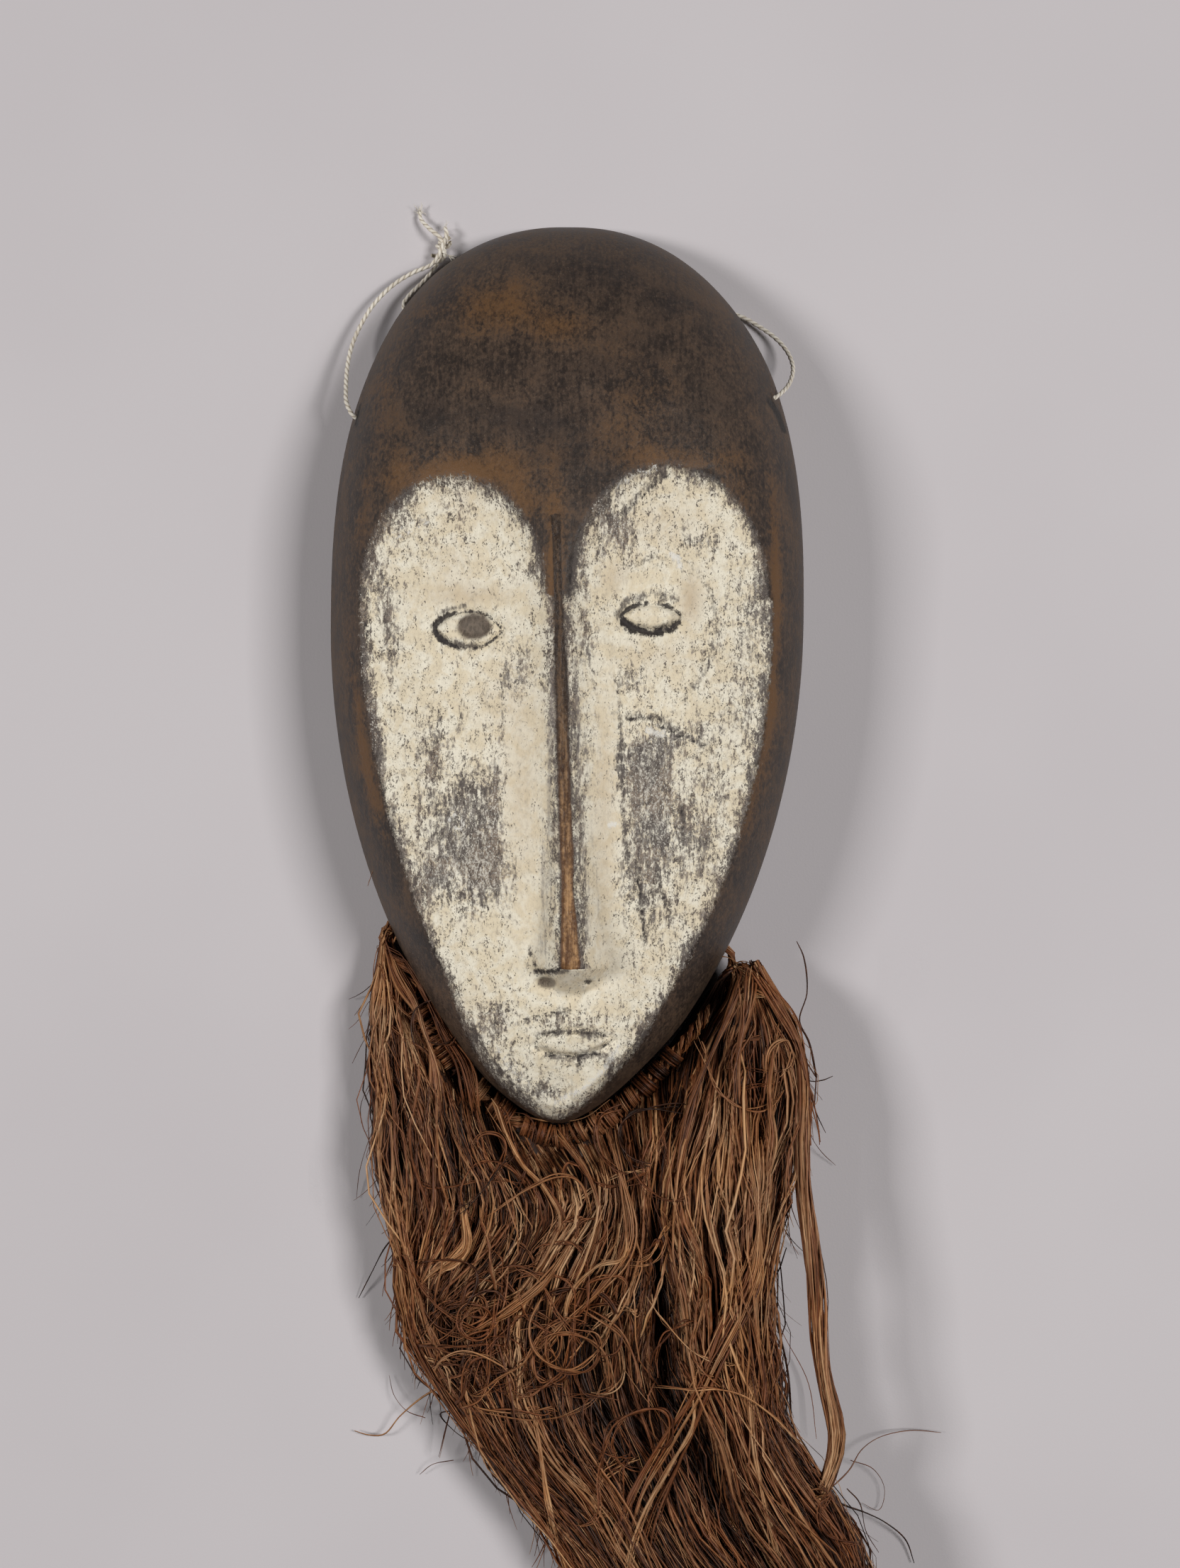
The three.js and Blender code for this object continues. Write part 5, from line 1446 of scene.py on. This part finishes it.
def held_until(own, gap):
    """The y in pixels at which fibres with these shares come clear of the jaw."""
    rows = np.linspace(FLOW_TOP, HELD_TO, 180)
    py = np.broadcast_to(rows[None, :], (len(own), len(rows)))
    x, y, _ = np.moveaxis(to_lines(flow(own, py), py, np.full(py.shape, BEARD_ROOT_Z)), -1, 0)
    held = (y > CHIN_Y - gap) & (x > jaw_edge(-1, y, gap)) & (x < jaw_edge(1, y, gap))
    last = len(rows) - 1
    until = np.where(held.any(axis=1), last - np.argmax(held[:, ::-1], axis=1), 0)
    return rows[np.minimum(until + 1, last)][:, None]


def fold(first, crest, start):
    """A smooth root: from the hole up over the crest and down to each fibre's start."""
    t = (np.arange(ROOT_POINTS) / ROOT_POINTS)[None, :, None]
    return (1.0 - t) ** 2 * first + 2.0 * t * (1.0 - t) * crest + t * t * start


def lock_roots(rng, px, py, start, folds):
    """Each fibre's root, by the fold that is chosen for it."""
    count = len(px)
    own = np.stack([px[:, 0], py[:, 0], np.zeros(count)], axis=1)
    roots = np.zeros((count, ROOT_POINTS, 3))
    for chosen, points in folds:
        origin = own if points is BAND_FOLD else np.zeros(3)
        spots = []
        for point, spread in zip(points, FOLD_SPREAD):
            x, y, z = (origin + np.array(point) + rng.normal(0.0, 1.0, (count, 3)) * spread).T
            spots.append(to_lines(x, y, np.maximum(z, 0.8))[:, None])
        roots = np.where(chosen[..., None], fold(*spots, start), roots)
    return roots


def lock_of_fibres(rng, share, width, lift, tone):
    """The fibres of one lock, in clumps that twist, from the jaw to the free end."""
    n, count = FIBRE_POINTS - ROOT_POINTS, LOCK_CLUMPS * CLUMP_FIBRES
    clump = np.repeat(np.arange(LOCK_CLUMPS), CLUMP_FIBRES)
    even, normal = columns(rng, count)

    def per_clump(low, high):
        return rng.uniform(low, high, (LOCK_CLUMPS, 1))[clump]

    # Where each fibre starts and ends
    own = np.clip(share + np.linspace(-0.9, 0.9, LOCK_CLUMPS)[clump][:, None] * width, 0.018, 0.98)
    end_py = PHOTO_MIDDLE[1] - (even(*BEARD_END) - CAMERA[1]) / (PIXEL * 0.985)
    gap = even(1.6, 5.0)
    left_bundle = (share < 0.3) & (even() < 0.95 - share * 2.2)
    right_bundle = np.full((count, 1), share > 0.68)
    start = np.where(right_bundle, RIGHT_START, held_until(own, gap))
    start = np.where(left_bundle, LEFT_START, start)

    # The way down in pixels: the flow, and waves of the lock, its clumps and its fibres
    t = np.linspace(0.0, 1.0, n)[None, :]
    py = mix(start + even(0.0, 14.0), end_py, t ** 1.08)
    loose = ease(0.0, 130.0, py - start)
    steady = mix(start.mean(), end_py.mean(), t)
    px = flow(own, py)
    px += waves(rng, 1, steady, rng.uniform(200.0, 420.0), rng.uniform(2.0, 7.0)) * loose
    px += waves(rng, LOCK_CLUMPS, steady, 260.0, 4.5)[clump] * loose
    px += waves(rng, count, py, 300.0, even(0.3, 2.2)) * loose
    wild = even() < 0.16
    px += waves(rng, count, py, 420.0, even(6.0, 20.0)) * loose * wild
    px += FLOW_DRIFT * drift(px, py) * loose
    outermost = np.clip(np.abs(2.0 * own - 1.0) * 12.0 - 10.9, 0.0, 1.0)
    px += waves(rng, count, py, 190.0, 4.0) * loose * outermost
    reach = even(0.2, 1.0) ** 0.5 * per_clump(0.7, 1.7)
    roll = even(0.0, 2.0 * math.pi) + py / per_clump(70.0, 160.0) * per_clump(-1.0, 1.0)
    swell = 0.75 + 0.45 * np.sin(py / per_clump(40.0, 75.0) + per_clump(0.0, 6.3))
    reach = reach * swell * mix(0.5, 1.0, loose)
    px += reach * np.cos(roll) / PIXEL

    # The height: deep and shallow clumps, hollows, the jaw, the root and the thin end
    y = level_y(px, py, 8.0)
    deep = per_clump(0.0, 1.0) ** 0.6
    hollow = hollow_at(px, py)
    filling = mix(0.58 + 0.32 * deep, 0.15 + 0.75 * even(), ease(0.90, 0.98, own)) - 0.40 * hollow
    z = beard_height(y) * side_height(px, py) * filling + lift * loose
    z += (0.8 * reach * np.sin(roll) + waves(rng, LOCK_CLUMPS, steady, 260.0, 0.9)[clump] * loose
          + wild * loose * 1.6)
    z = np.minimum(z, jaw_cap(to_lines(px, py, z), py))
    rooted = ease(80.0, 0.0, py - start)
    root_z = np.where(right_bundle, RIGHT_ROOT_Z, BEARD_ROOT_Z)
    root_z = np.where(left_bundle, LEFT_ROOT_Z, root_z)
    z = mix(z, root_z + 3.5 * (deep - 0.35), rooted)
    z = np.maximum(mix(z, 0.35 + 0.6 * z, ease(*BEARD_THINNING, y)), 0.35)
    lines = clear_of_jaw(to_lines(px, py, z), gap * mix(1.0, 0.45, rooted))
    folds = ((~left_bundle & ~right_bundle, BAND_FOLD), (left_bundle, LEFT_FOLD),
             (right_bundle, RIGHT_FOLD))
    lines = np.concatenate([lock_roots(rng, px, py, lines[:, :1], folds), lines], axis=1)

    # Its tone and thickness. Painted shade: lower clumps, each clump's lower side and the hollows
    # are darker
    pad = [(0, 0), (ROOT_POINTS, 0)]
    hollow, px, py, roll = (np.pad(v, pad, mode="edge") for v in (hollow, px, py, roll))
    shade = tone + rng.normal(0.0, 0.19, LOCK_CLUMPS)[clump][:, None] + normal(0.11)
    shade = shade + 0.32 * (deep - 0.6) + 0.06 * np.sin(roll) - 0.5 * hollow
    shade = shade + 0.45 * pixel_patches(px, py, GOLDEN) + waves(rng, count, py, 400.0, 0.07)
    shade = shade + 0.10 - 0.17 * ease(*SHADE_DROP, py)
    broad, draw = even() < 0.36, even() ** 1.6
    thinned = 1.0 - 0.75 * np.linspace(0.0, 1.0, FIBRE_POINTS)[None, :] ** 6
    return lines, np.where(broad, mix(*BROAD, draw), mix(*FINE, draw)) * thinned, shade


def fibres_part(lines, radius, shade, rng):
    """Strips with a three-cornered section; the broad ones are flat and roll slowly."""
    count, n = lines.shape[:2]
    even, normal = columns(rng, count)
    turn = even(-0.5, 0.5) + normal(1.5) * (np.arange(n)[None, :] / n)
    radius, shade = (np.broadcast_to(v, (count, n)) for v in (radius, shade))
    flat = np.where(radius.mean(axis=1) > 0.22, 0.34, 0.9)
    points, faces = sweep(lines, radius[..., None], 3, turn[..., None], flat[:, None, None])
    return points, faces, {"tone": np.repeat(shade.ravel(), 3)}


def core_start(low, high):
    """The row in pixels at which the core between these shares may start."""
    return LEFT_START if low + high < 1.3 else RIGHT_CORE_START


def painted_shade_core(low, high):
    """A dark body of painted shade under the fibres between two shares, so no floor shows through.
    """
    across = np.linspace(0.0, 1.0, 7)
    own = np.clip(mix(low, high, across), 0.03, 0.965)[:, None]
    top_py = np.maximum(held_until(own, CORE_GAP), core_start(low, high))
    py = mix(top_py, CORE_END, np.linspace(0.0, 1.0, 60)[None, :])
    px = flow(own * np.ones(py.shape), py)
    y = level_y(px, py, 5.0)
    arch = np.sin(np.pi * np.clip(across, 0.08, 0.92))[:, None] ** 0.3
    z = beard_height(y) * side_height(px, py) * 0.55 * arch * mix(0.5, 1.0, ease(*CORE_RISE, y))
    z = z * (1.0 - 0.4 * hollow_at(px, py))
    top = to_lines(px, py, z)
    top[..., 2] = np.minimum(z, jaw_cap(top, py) - 1.5)
    bottom = top * (1.0, 1.0, 0.0) + (0.0, 0.0, 1.1)
    rings = np.concatenate([top, bottom[::-1]], axis=0).transpose(1, 0, 2)
    points = rings.reshape(-1, 3)
    return points, ring_faces(1, *rings.shape[:2]), {"tone": np.full(len(points), -0.05)}


def under_fibres(rng, low, high, count=36):
    """Fibres along the beard's underside, between two shares."""
    even, normal = columns(rng, count)
    own = np.clip(even(low, high), 0.03, 0.965)
    start = np.maximum(held_until(own, 2.5), core_start(low, high))
    py = mix(start + even(0.0, 20.0), even(*UNDER_END), np.linspace(0.0, 1.0, 20)[None, :])
    px = flow(own, py) + waves(rng, count, py, 300.0, 2.5)
    lines = clear_of_jaw(to_lines(px, py, even(0.4, 0.8) * np.ones(py.shape)), 2.0)
    shade = 0.26 + normal(0.14)
    return fibres_part(lines, even(0.24, 0.40), shade, rng)


def top_lock(rng, points, count, half_width, lift, tone):
    """A lock over the beard, its ends tucked in among the fibres below."""
    n = 26
    even, normal = columns(rng, count)
    way = spline(points, count=n)[None]
    ahead = np.gradient(way, axis=1)
    across = unit(np.stack([-ahead[..., 1], ahead[..., 0]], axis=-1))
    t = np.linspace(0.0, 1.0, n)[None, :]
    tip = np.abs(2.0 * t - 1.0)
    u = normal(0.5)
    swell = np.sin(2.0 * math.pi * t * rng.uniform(0.8, 1.6) + rng.uniform(0, 6.3))
    width = half_width * (0.55 + 0.45 * swell)
    shift = u * (width + half_width * 0.5 * tip ** 2) + waves(rng, count, 400.0 * t, 220.0, 1.3)
    at = way + across * shift[..., None] + unit(ahead) * normal(5.0)[..., None]
    px, py = at[..., 0], at[..., 1]
    tucked = np.sin(np.pi * t) ** 0.35
    z = beard_top(px, py) + lift * tucked - 3.5 * (1.0 - tucked) + 0.5 * (1.0 - np.abs(u))
    z = z + normal(0.25)
    lines = clear_of_jaw(to_lines(px, py, np.maximum(z, 0.5)), 1.8)
    shade = tone + normal(0.12)
    radius = mix(FINE[0], BROAD[1], even() ** 1.4) * (1.0 - 0.5 * tip ** 5)
    return fibres_part(lines, radius, shade, rng)


def stray(rng, points, heights, radius, tone):
    n = 30
    way = spline(points, count=n)
    t = np.linspace(0.0, 1.0, n)
    z = np.pad(np.interp(t, (0.0, 0.5, 1.0), heights), 4, mode="edge")
    z = np.convolve(z, np.ones(9) / 9.0, mode="valid")
    lines = to_lines(way[:, 0], way[:, 1], z)[None]
    size = radius * (1.0 - 0.6 * t ** 3) * (0.8 + 0.2 * np.sin(9.0 * t))
    return fibres_part(lines, size, tone + rng.normal(0, 0.03, (1, n)), rng)


def tangle(rng, cx, cy, rx, ry, count, tone):
    """Thin bundles that curl about on top of the beard inside an oval."""
    n = 34
    even, normal = columns(rng, count)
    step = even(4.0, 8.0)
    heading = even(0.0, 2.0 * math.pi)
    bend = rng.choice((-1.0, 1.0), (count, 1)) * even(0.0, 0.09)
    bend = bend + np.cumsum(rng.normal(0.0, 0.026, (count, n)), axis=1)
    heading = heading + np.cumsum(np.clip(bend, -0.2, 0.2), axis=1)
    px = normal(rx * 0.5, cx) + np.cumsum(np.cos(heading) * step, axis=1)
    py = normal(ry * 0.5, cy) + np.cumsum(np.sin(heading) * step, axis=1)
    for value, middle, half in ((px, cx, rx), (py, cy, ry)):
        value -= (value.mean(axis=1, keepdims=True) - middle) * 0.35
        value[:] = middle + half * 1.5 * np.tanh((value - middle) / (half * 1.5))
    t = np.linspace(0.0, 1.0, n)[None, :]
    tip = np.abs(2.0 * t - 1.0)
    z = even(-2.6, 1.4) + 1.2 * np.sin(np.pi * t) ** 0.5 + waves(rng, count, 400.0 * t, 200.0, 0.6)
    tones = tone + normal(0.16)
    parts = []
    for _ in range(3):
        roll = even(0.0, 6.3) + even(3.0, 9.0) * t
        away = even(0.15, 0.65) * (1.0 + 1.5 * tip ** 3)
        x, y = px + away * np.cos(roll) / PIXEL, py + away * np.sin(2.0 * roll) / PIXEL
        share = share_at(x, y)
        x = np.where(np.abs(share - 0.5) > 0.49, flow(np.clip(share, 0.01, 0.99), y), x)
        lift = beard_top(x, y) + z + away * np.sin(roll)
        lines = clear_of_jaw(to_lines(x, y, np.maximum(lift, 0.4)), 2.0)
        shade = tones + normal(0.08)
        radius = mix(0.09, 0.36, even() ** 1.6) * (1.0 - 0.5 * tip ** 4)
        parts.append(fibres_part(lines, radius, shade, rng))
    return join(parts)


# The outer strand, apart from the beard on its right: row, middle and half width in
# pixels, the rows between which it lies, rises and falls, and its height in millimetres
STRAND = (
    (1352, 1064, 6), (1400, 1092, 8), (1460, 1120, 9), (1540, 1134, 10), (1620, 1132, 10),
    (1700, 1136, 11), (1740, 1140, 13), (1780, 1145, 14), (1820, 1151, 14), (1860, 1156, 13),
    (1900, 1160, 11), (1940, 1165, 10), (1980, 1172, 11), (2020, 1180, 12), (2060, 1178, 12),
    (2100, 1160, 11), (2160, 1142, 12), (2240, 1150, 12), (2330, 1200, 12),
)
STRAND_SPAN, STRAND_RISE, STRAND_FALL = (1362.0, 2440.0), (1380.0, 1600.0), (2150.0, 2420.0)
STRAND_LOW, STRAND_HEIGHT = 14.0, 24.0
WISP_SPAN, RIGHT_WISP_SHIFT = (1340.0, 2190.0), 30.0


def outer_strand(rng, count=96):
    even, normal = columns(rng, count)
    rows, middles, halves = np.array(STRAND, float).T
    py = np.linspace(*STRAND_SPAN, 40)[None, :] + even(-8.0, 8.0)
    middle, half = np.interp(py, rows, middles), np.interp(py, rows, halves)
    angle = even(0.0, 2.0 * math.pi) + py / 150.0 * rng.choice((0.6, 0.9, 1.1), (count, 1))
    out = even(0.25, 1.0) ** 0.5
    ply = 0.35 * np.sin(py / 90.0 + rng.choice((0.0, 2.1, 4.2), (count, 1)))
    px = middle + half * (0.80 * out * np.cos(angle) + ply)
    px = px + waves(rng, count, py, 150.0, even(0.4, 3.2)) + waves(rng, 1, py, 210.0, 3.0)
    z = mix(STRAND_LOW, STRAND_HEIGHT, ease(*STRAND_RISE, py)) + 2.4 * out * np.sin(angle) + ply
    z = z * mix(1.0, 0.45, ease(*STRAND_FALL, py))
    # Painted light: the fibres on the strand's upper side are lighter
    shade = 0.44 + normal(0.20) + 0.20 * np.sin(angle) + 0.4 * pixel_patches(px, py, GOLDEN)
    radius = mix(FINE[0], BROAD[1], even() ** 1.6)
    lines = clear_of_jaw(to_lines(px, py, np.maximum(z, 0.5)), 2.0)
    lines[:, 1:-1] = (lines[:, :-2] + lines[:, 1:-1] + lines[:, 2:]) / 3.0
    return fibres_part(lines, radius, shade, rng)


def edge_wisps(rng, count=230):
    """Short fine fibres that stand off both edges of the beard."""
    even, normal = columns(rng, count)
    side = rng.choice((0.0, 1.0), (count, 1))
    start = even(*WISP_SPAN) + RIGHT_WISP_SHIFT * side
    t = np.linspace(0.0, 1.0, 16)[None, :]
    length, lean, curl = even(25.0, 85.0), even(0.05, 0.65), normal(0.5)
    py = start + length * (t - 0.2 * curl * t * t)
    edge = mix(0.03, 0.97, side) * np.ones_like(py)
    px = mix(flow(edge, py), flow(edge, start * np.ones_like(py)), 0.5)
    px = px + (2.0 * side - 1.0) * length * (lean * t + curl * 0.3 * t * t)
    z = mix(even(3.0, 13.0), even(0.6, 6.0), t)
    lines = clear_of_jaw(to_lines(px, py, z), 1.8)
    shade = 0.40 + normal(0.2)
    return fibres_part(lines, even(0.07, 0.18) * (1.0 - 0.6 * t ** 3), shade, rng)


# For each of three layers of locks: height over the beard and tone, darker lower down as painted
# shade
LAYERS = ((-1.5, 0.24), (0.3, 0.38), (1.5, 0.46))
GOLDEN_RATIO = 0.61803


def make_beard(material):
    below = np.random.default_rng(41)
    shares = [(k / HANKS, (k + 1) / HANKS) for k in range(HANKS)]
    parts = [[painted_shade_core(*share), under_fibres(below, *share)] for share in shares]
    rng = np.random.default_rng(17)
    for k in range(LOCKS):
        lift, tone = LAYERS[k % 3]
        share = ((k + 0.5 + rng.uniform(-0.9, 0.9)) / LOCKS + GOLDEN_RATIO * (k % 3)) % 1.0
        width = rng.uniform(0.008, 0.022)
        lift, tone = lift + rng.uniform(-0.5, 0.5), tone + rng.normal(0.0, 0.09)
        made = lock_of_fibres(rng, share, width, lift, tone)
        parts[min(HANKS - 1, int(share * HANKS))].append(fibres_part(*made, rng))

    def add_on_top(spot, made):
        px, py = np.array(spot, float)[:, None]
        parts[int(np.clip(share_at(px, py)[0], 0.0, 0.999) * HANKS)].append(made)

    for points, *rest in TOP_LOCKS:
        add_on_top(points[len(points) // 2], top_lock(rng, points, *rest))
    for spot in TANGLES:
        add_on_top(spot[:2], tangle(rng, *spot))
    for points, *rest in STRAYS:
        add_on_top(points[0], stray(rng, points, *rest))
    parts[0].append(edge_wisps(rng))
    for k, group in enumerate(parts, 1):
        points, faces, fields = join(group)
        hank = make_mesh(f"raffia_hank_{k}", points, faces, material, fields)
        claim(hank, "raffia", f"beard_hank_{k}")
    points, faces, fields = outer_strand(rng)
    strand = make_mesh("raffia_outer_strand", points, faces, material, fields)
    claim(strand, "raffia", "beard_outer_strand")


# The band along the jaw: three plies round the line of the beard cord, which ends in a knot
# behind each jaw hole, and the hitches in which the fibres are tied over it
JAW_CORD_OFFSET = 1.7
JAW_CORD_BEND = ((0.0, -4.0), (0.0, 0.2), (1.4, 2.1))
JAW_CORD_POINTS = 26
BAND_STEP = 1.7
BAND_OUT, BAND_UP = 1.5, 3.6
BAND_PLIES, PLY_FIBRES = 3, 24
BAND_PLY = 1.0
BAND_PITCH = 11.0
KNOT_FIBRES = 14
# Hitches: how many, between which shares of the band, and their section as out and up
HITCHES = 19
HITCH_RANGE = (0.10, 0.80)
HITCH_FIBRES = 15
HITCH_POINTS = 24
HITCH_MIDDLE = (1.4, 8.2)
HITCH_SHAPE = ((4.6, 7.2), (3.6, 10.2), (1.6, 11.6), (-0.5, 10.6), (-1.2, 7.8), (-0.4, 5.2),
               (1.6, 4.2), (3.6, 4.8))


def jaw_line():
    points = []
    for t in np.linspace(-1.0, 1.0, JAW_CORD_POINTS + 1)[1:-1]:
        side, hole_y = (-1, JAW_HOLE_Y[0]) if t < 0.0 else (1, JAW_HOLE_Y[1])
        y = mix(CHIN_Y, hole_y, 1.0 - math.cos(math.pi * abs(t) / 2.0))
        if abs(t) < 1e-9:
            points.append((float(axis_x(CHIN_Y)), CHIN_Y - JAW_CORD_OFFSET, JAW_CORD_Z))
        else:
            points.append((*(float(v) for v in jaw_point(side, y, JAW_CORD_OFFSET)), JAW_CORD_Z))
    return points


def band_route():
    ends = []
    for side, hole_y, hole in zip((-1, 1), JAW_HOLE_Y, jaw_holes()):
        bend = [(*(float(v) for v in jaw_point(side, hole_y - down, offset)), JAW_CORD_Z)
                for down, offset in JAW_CORD_BEND]
        ends.append([tuple(float(v) for v in hole[0]), *bend])
    return ends[0] + jaw_line() + ends[1][::-1]


def one_fibre(rng, line, radius, shade):
    return fibres_part(line[None], radius, shade, rng)


def band_plies(rng, line):
    """The three twisted plies, drawn together and lowered towards the holes."""
    side, up = (v[0] for v in frames(line[None]))
    along = np.arange(len(line)) * BAND_STEP
    free = ease(13.0, 20.0, np.minimum(along, along[-1] - along))
    size = 0.55 + 0.45 * free
    for ply in range(BAND_PLIES):
        angle = 2.0 * math.pi * (ply / BAND_PLIES + along / BAND_PITCH)
        for _ in range(PLY_FIBRES):
            own = angle + rng.uniform(0.0, 6.3) + along / 4.0
            out = BAND_PLY * np.sqrt(rng.random())
            reach = size * (BAND_PLY * np.cos(angle) + out * np.cos(own) * 0.8) + BAND_OUT * free
            rise = size * (BAND_PLY * np.sin(angle) + out * np.sin(own) * 0.8) + BAND_UP * free
            made = line + reach[:, None] * side + rise[:, None] * up
            # Painted light: the upper side of each ply is lighter
            tone = 0.50 + rng.normal(0.0, 0.15) + 0.12 * np.sin(angle)
            yield one_fibre(rng, made, rng.uniform(0.12, 0.24), tone)


def band_knot(rng, middle):
    """Fibres wound round this place in all directions."""
    t = np.linspace(0.0, 1.0, 40)
    for _ in range(KNOT_FIBRES):
        pole, turn = rng.normal(0.0, 1.0, 3), rng.uniform(1.0, 2.2)
        pole = unit(pole)
        first = unit(np.cross(pole, (0.3, 0.5, 0.8)))
        second = np.cross(pole, first)
        angle = 2.0 * math.pi * turn * t
        ball = np.cos(angle)[:, None] * first + np.sin(angle)[:, None] * second
        ball = middle + rng.uniform(1.6, 2.3) * ball + pole * rng.uniform(-0.8, 0.8)
        yield one_fibre(rng, ball, 0.32, 0.4)


def band_hitches(rng):
    """Loops of fibres over the band, each with both its ends going down into the beard."""
    line = spline(jaw_line(), count=200)
    ahead = unit(np.gradient(line, axis=0))
    ends = np.abs(np.linspace(-1.0, 1.0, HITCH_POINTS))
    for share in np.linspace(*HITCH_RANGE, HITCHES) + rng.normal(0.0, 0.004, HITCHES):
        k = int(share * (len(line) - 1))
        middle, forward = line[k] * (1.0, 1.0, 0.0), ahead[k]
        outward = np.array((forward[1], -forward[0], 0.0))
        outward = outward * (1.0 if outward @ (middle - (0.0, -40.0, 0.0)) > 0.0 else -1.0)
        down = np.array((0.25 * outward[0], -1.0, 0.0))
        # Painted shade: the hitches are darker towards the band's right end
        size, tone = rng.uniform(0.82, 1.2), rng.normal(0.54, 0.09) - 0.25 * ease(0.6, 0.8, share)
        slant = rng.normal(0.4, 0.5)
        for _ in range(HITCH_FIBRES):
            across = rng.normal(0.0, 0.95)
            own = size * rng.uniform(0.9, 1.12)
            reach = rng.uniform(2.0, 12.0)
            way = []
            for i, (out, z) in enumerate(HITCH_SHAPE):
                out, z = (m + (v - m) * own for v, m in zip((out, z), HITCH_MIDDLE))
                aside = forward * (across + slant * (1.0 - i / 4.0))
                way.append(middle + outward * out + aside + np.array((0.0, 0.0, z)))
            first, last = way[0], way[-1]
            low = first + down * reach + outward * 0.6
            low = low + np.array((rng.normal(0.0, 1.4), 0.0, -1.2))
            bend = first + down * reach * 0.4 + outward * 0.5 - (0.0, 0.0, 0.7)
            tail = last + down * reach * 0.8 + np.array((rng.normal(0.0, 1.5), 0.0, 0.5))
            made = not_below(spline([low, bend, *way, tail], count=HITCH_POINTS), 0.5)
            # Painted shade: each fibre is darker towards its ends, where they go down into the
            # beard
            shade = tone + rng.normal(0.0, 0.12) - 0.15 * ends
            yield one_fibre(rng, made, rng.uniform(0.12, 0.40), shade)


def make_band(material):
    rng = np.random.default_rng(29)
    line = spline(band_route(), BAND_STEP)
    parts = [*band_plies(rng, line), *band_knot(rng, line[0]), *band_knot(rng, line[-1]),
             *band_hitches(rng)]
    points, faces, fields = join(parts)
    claim(make_mesh("raffia_band", points, faces, material, fields), "raffia", "beard_cord")


make_camera()
make_string()
make_mask()
fibre_material = raffia()
make_beard(fibre_material)
make_band(fibre_material)
make_studio()
